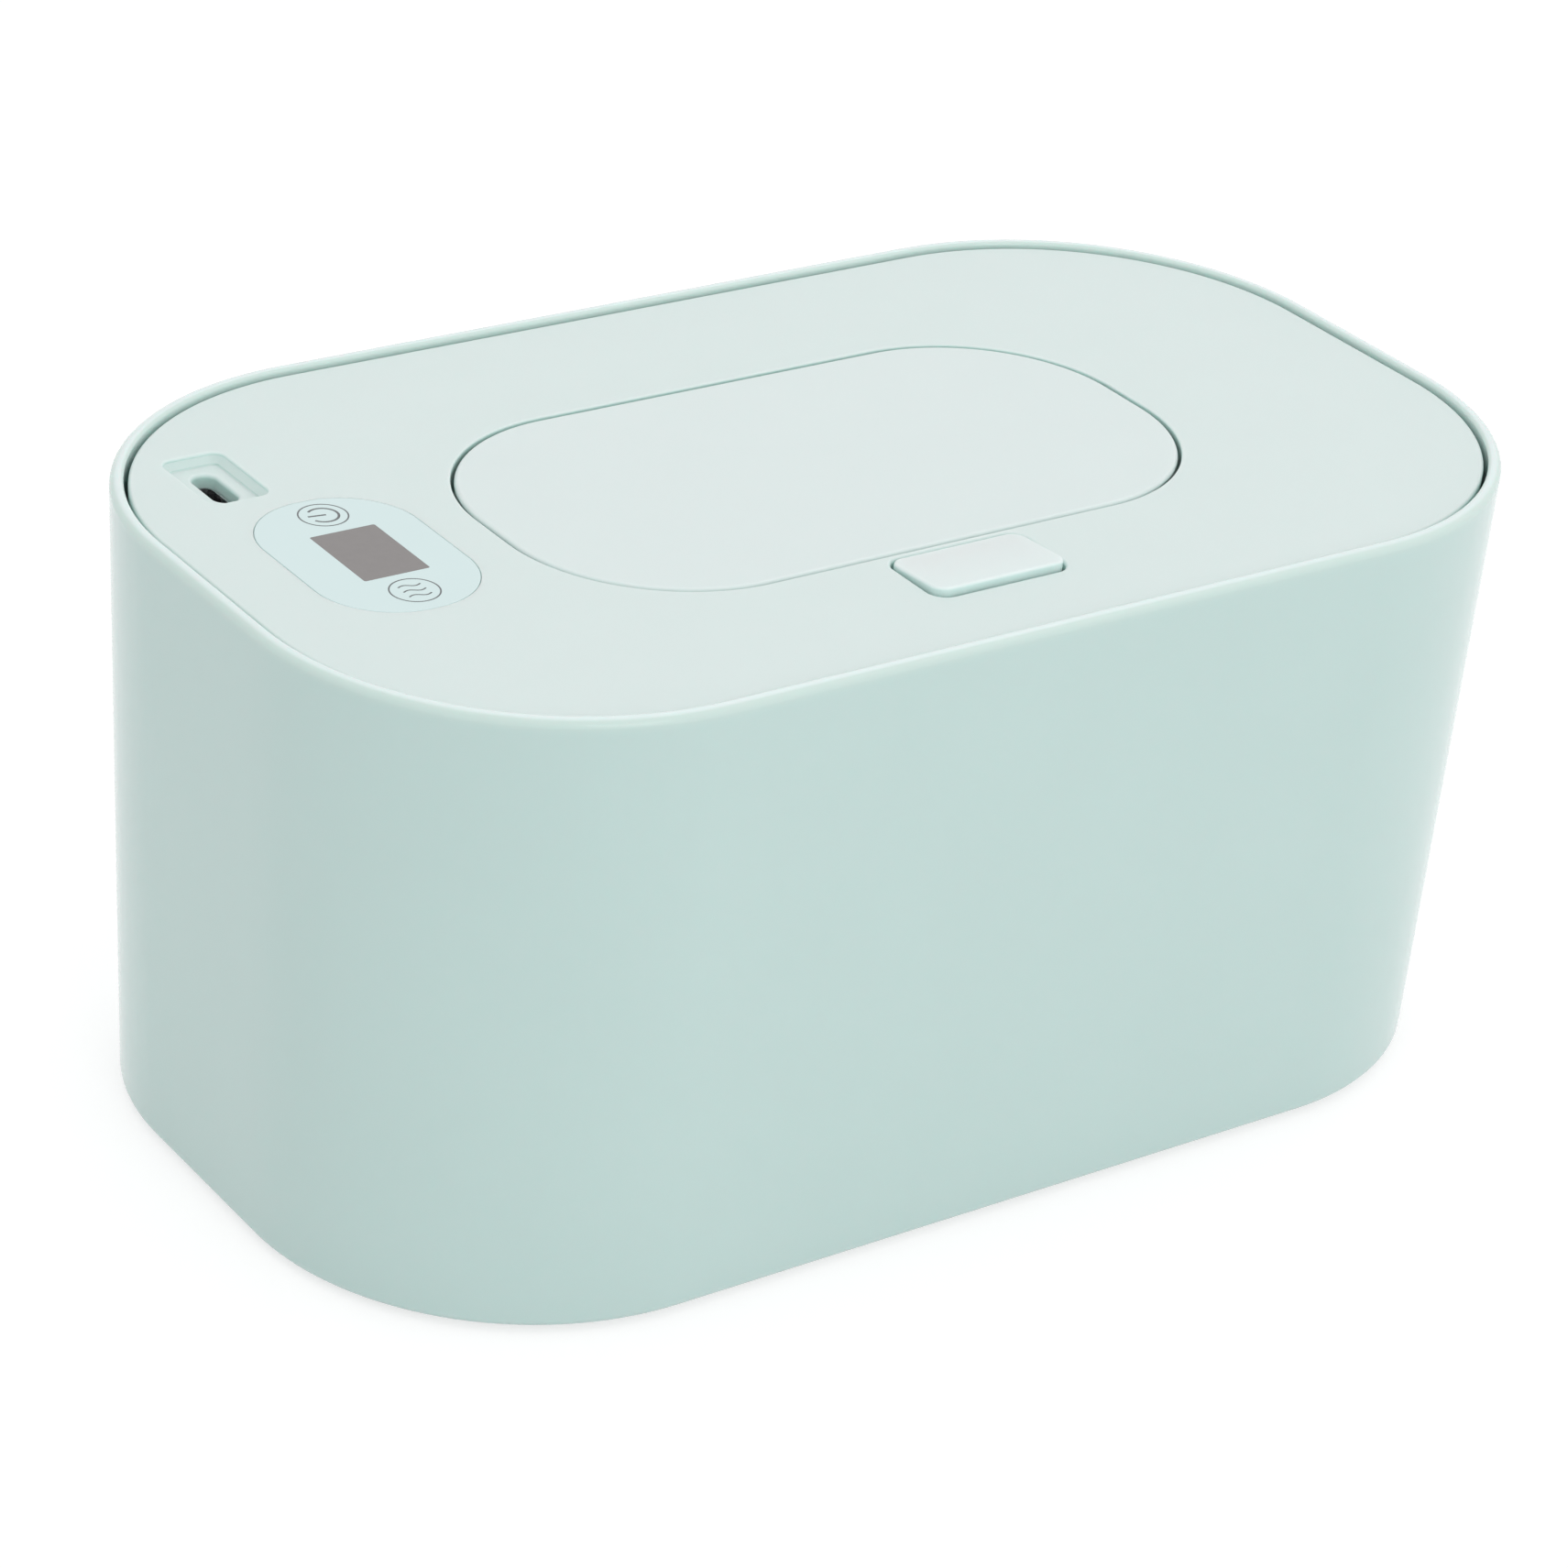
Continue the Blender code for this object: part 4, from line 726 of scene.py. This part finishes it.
def plug_cutters(cup_low_z):
    """The drafted plug recess with soft edges, and the slot with a soft lip down to the socket."""
    floor_z = lid_z - plug_depth
    recess = []
    for inset, rise in quarter_round(plug_floor_rounding):
        recess.append((plug_outline(-plug_draft_inset - inset), floor_z + rise))
    for inset, drop in reversed(quarter_round(plug_edge_rounding)):
        recess.append((plug_outline(inset), lid_z - drop))
    recess.append((plug_outline(plug_edge_rounding), lid_z + cut_overrun))
    slot = [(socket_outline(socket_clearance), cup_low_z - cut_overrun)]
    for inset, drop in reversed(quarter_round(slot_edge_rounding)):
        slot.append((socket_outline(socket_clearance + inset), floor_z - drop))
    slot.append((socket_outline(socket_clearance + slot_edge_rounding), floor_z + joint_overlap))
    return [loft(recess), loft(slot)]


def notch_cutters():
    """Ways through the ledge and the recess wall for the hinge arms, and for the catch."""
    half = arm_width / 2 + notch_clearance
    low_z = ledge_low_z - cut_overrun
    front_y = hinge_y - arm_outer_radius - notch_clearance
    back_y = recess_back_y + recess_wall + notch_clearance
    top_z = lid_z - lid_plate - joint_overlap
    cutters = []
    for side in (-1, 1):
        middle = door_centre[0] + side * arm_place
        cutters.append(block((middle - half, front_y, low_z), (middle + half, back_y, top_z)))
    half = catch_width / 2 + notch_clearance
    front_y = door_centre[1] - door_width / 2 - door_gap
    low = (door_centre[0] - half, front_y, low_z)
    back_y = front_y + door_gap + catch_reach_back
    high = (door_centre[0] + half, back_y, ledge_top_z + joint_overlap)
    cutters.append(block(low, high))
    return cutters


def lid_top(finish):
    """Satin lid: plate, skirt, door recess and ledge, button pocket, panel seat, plug recess."""
    wall_outer = door_gap + recess_wall
    plate_low_z = lid_z - lid_plate
    levels = [(lid_outline(skirt_low_z, 0.0), skirt_low_z)]
    for inset, drop in reversed(quarter_round(lid_edge_rounding)):
        levels.append((lid_outline(lid_z - drop, inset), lid_z - drop))
    for inset, drop in quarter_round(recess_edge_rounding):
        levels.append((door_outline(door_gap + inset), lid_z - drop))
    levels += [
        (door_outline(door_gap), ledge_top_z),
        (door_outline(-well_inset), ledge_top_z),
        (door_outline(-well_inset), ledge_low_z),
        (door_outline(wall_outer), ledge_low_z),
        (door_outline(wall_outer), plate_low_z),
        (lid_outline(plate_low_z, lid_skirt_wall), plate_low_z),
        (lid_outline(skirt_low_z, lid_skirt_wall), skirt_low_z),
    ]
    inside_z = plate_low_z + joint_overlap
    cup_low_z = lid_z - plug_depth - plug_cup_floor
    pocket_low_z = lid_z - pocket_depth
    additions = [prism(plug_outline(plug_wall), cup_low_z, inside_z)]
    pocket = button_outline(button_gap + pocket_wall, reach=0.0)
    additions.append(prism(pocket, pocket_low_z, inside_z))
    for start in ear_starts():
        additions.append(prism(ear_outline(), start, start + ear_thickness, "X"))
    shape = with_added(loft(levels, ring=True), additions)
    cuts = plug_cutters(cup_low_z)
    cuts.append(
        softened_cutter(
            lambda offset: button_outline(button_gap + offset),
            pocket_rounding,
            pocket_low_z - cut_overrun,
        )
    )
    cuts.append(softened_cutter(panel_outline, film_rounding, film_low_z - seat_gap))
    cuts.append(prism(display_outline(0.0), plate_low_z - cut_overrun, film_low_z))
    pin_radius = (hinge_pin_high.z - hinge_pin_low.z) / 2 + seat_gap
    pin_low_x = hinge_pin_low.x - cut_overrun
    pin_high_x = hinge_pin_high.x + cut_overrun
    cuts.append(prism(circle((hinge_y, hinge_z), pin_radius), pin_low_x, pin_high_x, "X"))
    cuts += notch_cutters()
    piece("lid_top", with_cut(shape, cuts), finish, "lid", ["lid_cover"])


def door_plate(finish):
    """The flush flap: rounded upper edge, short land, then a bevel that lets it swing."""
    levels = [
        (door_outline(-door_bevel_inset), lid_z - door_thickness),
        (door_outline(0.0), lid_z - door_land),
    ]
    for inset, drop in reversed(quarter_round(door_rounding)):
        levels.append((door_outline(-inset), lid_z - drop))
    piece("door_plate", loft(levels), finish, "door", ["door_panel"])


def push_button(finish):
    """Hollow cap with a rounded upper edge, its top sloping down towards the door."""
    skirt_low_z = lid_z - button_skirt_depth
    levels = [
        (button_outline(-button_skirt_wall), cap_top_z - button_roof),
        (button_outline(-button_skirt_wall), skirt_low_z),
        (button_outline(0.0), skirt_low_z),
    ]
    for inset, drop in reversed(quarter_round(button_rounding)):
        levels.append((button_outline(-inset), cap_top_z - drop))
    shape = loft(levels)
    front_y = button_centre[1] - button_width / 2
    rear_y = button_centre[1] + button_width / 2 + button_rear_reach
    below_edge_z = cap_top_z - 2 * button_rounding
    for vertex in shape.verts:
        if vertex.co.z > below_edge_z:
            share = (vertex.co.y - front_y) / (rear_y - front_y)
            vertex.co.z -= button_rear_drop * share
    piece("push_button", shape, finish, "button", ["button_cap"])


def tube(path, radius):
    """A round wire along nearly level points, with closed ends."""
    rows = []
    for index, point in enumerate(path):
        along = path[min(index + 1, len(path) - 1)] - path[max(index - 1, 0)]
        across = along.cross(Vector((0.0, 0.0, 1.0))).normalized()
        lift = across.cross(along).normalized()
        row = []
        for side in range(wire_sides):
            angle = math.tau * side / wire_sides
            place = point + across * radius * math.cos(angle) + lift * radius * math.sin(angle)
            row.append(place)
        rows.append(row)
    return skin(rows)


def return_spring(finish):
    """The button's coil spring with flat end turns."""
    low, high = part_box("button_spring")
    centre = (low + high) / 2
    coil_radius = (high.x - low.x) / 2 - spring_wire_radius
    low_z = low.z + spring_wire_radius
    high_z = high.z - spring_wire_radius
    path = []
    for step in range(spring_turns * coil_steps + 1):
        turn = step / coil_steps
        share = (turn - spring_end_turns) / (spring_turns - 2 * spring_end_turns)
        z = low_z + (high_z - low_z) * min(max(share, 0.0), 1.0)
        x = centre.x + coil_radius * math.cos(math.tau * turn)
        y = centre.y + coil_radius * math.sin(math.tau * turn)
        path.append(Vector((x, y, z)))
    shape = tube(path, spring_wire_radius)
    made = piece("return_spring", shape, finish, "lid", ["button_spring"])
    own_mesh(made)


def overlay(film, display):
    """Glossy film with a window, and the smoked window in it."""
    levels = [(display_outline(display_join), film_low_z)]
    levels.append((panel_outline(-film_side_gap), film_low_z))
    for inset, drop in reversed(quarter_round(film_rounding)):
        levels.append((panel_outline(-film_side_gap - inset), lid_z - drop))
    levels.append((display_outline(display_join), lid_z))
    piece("panel_overlay", loft(levels, ring=True), film, "lid", ["control_film"])
    window = [(display_outline(0.0), lid_z - display_thickness), (display_outline(0.0), lid_z)]
    piece("display_window", loft(window), display, "lid", ["display_lens"])


def ribbon(points, width, closed=False):
    """A thin printed line along points on top of the film."""
    low_z = lid_z - print_sunk
    high_z = lid_z + print_height
    rows = []
    for index, point in enumerate(points):
        if closed:
            before = points[index - 1]
            after = points[(index + 1) % len(points)]
        else:
            before = points[max(index - 1, 0)]
            after = points[min(index + 1, len(points) - 1)]
        along = Vector((after[0] - before[0], after[1] - before[1])).normalized()
        side = Vector((-along.y, along.x)) * width / 2
        left = (point[0] + side.x, point[1] + side.y)
        right = (point[0] - side.x, point[1] - side.y)
        rows.append([(*left, low_z), (*left, high_z), (*right, high_z), (*right, low_z)])
    return skin(rows, ring=closed)


def key_prints(finish):
    """Ring and symbol of the power key, and ring and heat lines of the second key."""
    power_shapes = [ribbon(circle(power_key, key_radius), key_line, closed=True)]
    arc = []
    arc_start = power_turn - math.pi + power_arc_opening / 2
    for step in range(swing_steps + 1):
        angle = arc_start + (math.tau - power_arc_opening) * step / swing_steps
        arc.append(around(power_key, power_arc_radius, angle))
    power_shapes.append(ribbon(arc, power_line))
    bar = [around(power_key, reach, power_turn) for reach in (-power_bar_reach, power_bar_back)]
    power_shapes.append(ribbon(bar, power_line))
    piece("power_key_print", joined(power_shapes), finish, "lid")
    set_shapes = [ribbon(circle(set_key, key_radius), key_line, closed=True)]
    for line in (-1, 0, 1):
        points = []
        for step in range(swing_steps + 1):
            share = step / swing_steps
            x = set_key[0] + heat_line_half_length * (2 * share - 1)
            swing = heat_line_swing * math.sin(math.tau * share)
            points.append((x, set_key[1] + line * heat_line_spacing + swing))
        set_shapes.append(ribbon(points, symbol_line))
    piece("set_key_print", joined(set_shapes), finish, "lid")


def photo_camera():
    """The camera whose picture lines up with the photograph."""
    sin_a, cos_a = math.sin(camera_azimuth), math.cos(camera_azimuth)
    sin_e, cos_e = math.sin(camera_elevation), math.cos(camera_elevation)
    back = Vector((sin_a * cos_e, -cos_a * cos_e, sin_e))
    level_right = Vector((0.0, 0.0, 1.0)).cross(back).normalized()
    level_up = back.cross(level_right)
    right = level_right * math.cos(camera_roll) + level_up * math.sin(camera_roll)
    up = level_up * math.cos(camera_roll) - level_right * math.sin(camera_roll)
    place = back * camera_distance + right * camera_side_shift + up * camera_rise
    place.z += base_z
    turn = Matrix((right, up, back)).transposed().to_4x4()
    data = bpy.data.cameras.new("photo_camera")
    data.sensor_width = sensor_width
    data.lens = focal_pixels / photo_side * sensor_width
    data.clip_start, data.clip_end = camera_clip
    camera = bpy.data.objects.new("photo_camera", data)
    camera.matrix_world = Matrix.Translation(place) @ turn
    bpy.context.scene.collection.objects.link(camera)
    bpy.context.scene.camera = camera


def seen_directly(tree):
    """1 for camera, glossy and transmission rays, and 0 for the rays that light the object."""
    path = tree.nodes.new("ShaderNodeLightPath")
    total = path.outputs["Is Camera Ray"]
    for name in ("Is Glossy Ray", "Is Transmission Ray"):
        add = tree.nodes.new("ShaderNodeMath")
        add.operation = "ADD"
        add.use_clamp = True
        tree.links.new(total, add.inputs[0])
        tree.links.new(path.outputs[name], add.inputs[1])
        total = add.outputs["Value"]
    return total


def studio_world():
    """Even pale light, and a white background where it is seen."""
    light_level = 0.78
    world = bpy.data.worlds.new("studio")
    bpy.context.scene.world = world
    world.use_nodes = True
    tree = world.node_tree
    tree.nodes.clear()
    output = tree.nodes.new("ShaderNodeOutputWorld")
    mix = tree.nodes.new("ShaderNodeMixShader")
    light = tree.nodes.new("ShaderNodeBackground")
    seen = tree.nodes.new("ShaderNodeBackground")
    light.inputs["Color"].default_value = (1.0, 1.0, 1.0, 1.0)
    light.inputs["Strength"].default_value = light_level
    seen.inputs["Color"].default_value = (1.0, 1.0, 1.0, 1.0)
    seen.inputs["Strength"].default_value = 1.0
    tree.links.new(seen_directly(tree), mix.inputs["Fac"])
    tree.links.new(light.outputs["Background"], mix.inputs[1])
    tree.links.new(seen.outputs["Background"], mix.inputs[2])
    tree.links.new(mix.outputs["Shader"], output.inputs["Surface"])


def studio_floor():
    """Pale floor that looks white where it is seen, and keeps the object's soft shadow."""
    floor_half = 4.0
    floor_colour = (0.82, 0.82, 0.82, 1.0)
    shadow_share = 0.5
    glow = 0.68
    mesh = bpy.data.meshes.new("floor")
    corners = [(-floor_half, -floor_half, 0.0), (floor_half, -floor_half, 0.0)]
    corners += [(floor_half, floor_half, 0.0), (-floor_half, floor_half, 0.0)]
    mesh.from_pydata(corners, [], [(0, 1, 2, 3)])
    floor = bpy.data.objects.new("floor", mesh)
    bpy.context.scene.collection.objects.link(floor)
    material = bpy.data.materials.new("floor_white")
    material.use_nodes = True
    tree = material.node_tree
    tree.nodes.clear()
    output = tree.nodes.new("ShaderNodeOutputMaterial")
    lit = tree.nodes.new("ShaderNodeBsdfDiffuse")
    lit.inputs["Color"].default_value = floor_colour
    faint = tree.nodes.new("ShaderNodeBsdfDiffuse")
    faint.inputs["Color"].default_value = (*(shadow_share * c for c in floor_colour[:3]), 1.0)
    emission = tree.nodes.new("ShaderNodeEmission")
    emission.inputs["Strength"].default_value = glow
    both = tree.nodes.new("ShaderNodeAddShader")
    tree.links.new(faint.outputs["BSDF"], both.inputs[0])
    tree.links.new(emission.outputs["Emission"], both.inputs[1])
    mix = tree.nodes.new("ShaderNodeMixShader")
    tree.links.new(seen_directly(tree), mix.inputs["Fac"])
    tree.links.new(lit.outputs["BSDF"], mix.inputs[1])
    tree.links.new(both.outputs["Shader"], mix.inputs[2])
    tree.links.new(mix.outputs["Shader"], output.inputs["Surface"])
    mesh.materials.append(material)


def softbox(name, place, size, power):
    """A square lamp that faces the object."""
    data = bpy.data.lights.new(name, "AREA")
    data.shape = "SQUARE"
    data.size = size
    data.energy = power
    lamp = bpy.data.objects.new(name, data)
    lamp.location = place
    lamp.rotation_mode = "QUATERNION"
    lamp.rotation_quaternion = Vector(place).to_track_quat("Z", "Y")
    bpy.context.scene.collection.objects.link(lamp)


def studio():
    """World, floor, two large lamps, and two small ones for the glints on the rim."""
    studio_world()
    studio_floor()
    softbox("overhead", place=(0.1, 0.35, 1.3), size=1.2, power=2.1)
    softbox("front", place=(-0.15, -1.3, 0.6), size=0.7, power=3.7)
    softbox("rim_high", place=(0.74, 0.25, 1.15), size=0.22, power=0.40)
    softbox("rim_low", place=(0.74, -0.62, 0.96), size=0.22, power=0.30)
    bpy.context.scene.view_settings.view_transform = "Standard"


finishes = make_finishes()
dress_cad_nodes(finishes)
body_shell(finishes["shell"])
feet(finishes["silicone"])
lid_top(finishes["lid"])
door_plate(finishes["door"])
push_button(finishes["button"])
return_spring(finishes["steel"])
overlay(finishes["panel_film"], finishes["display"])
key_prints(finishes["print"])
photo_camera()
studio()
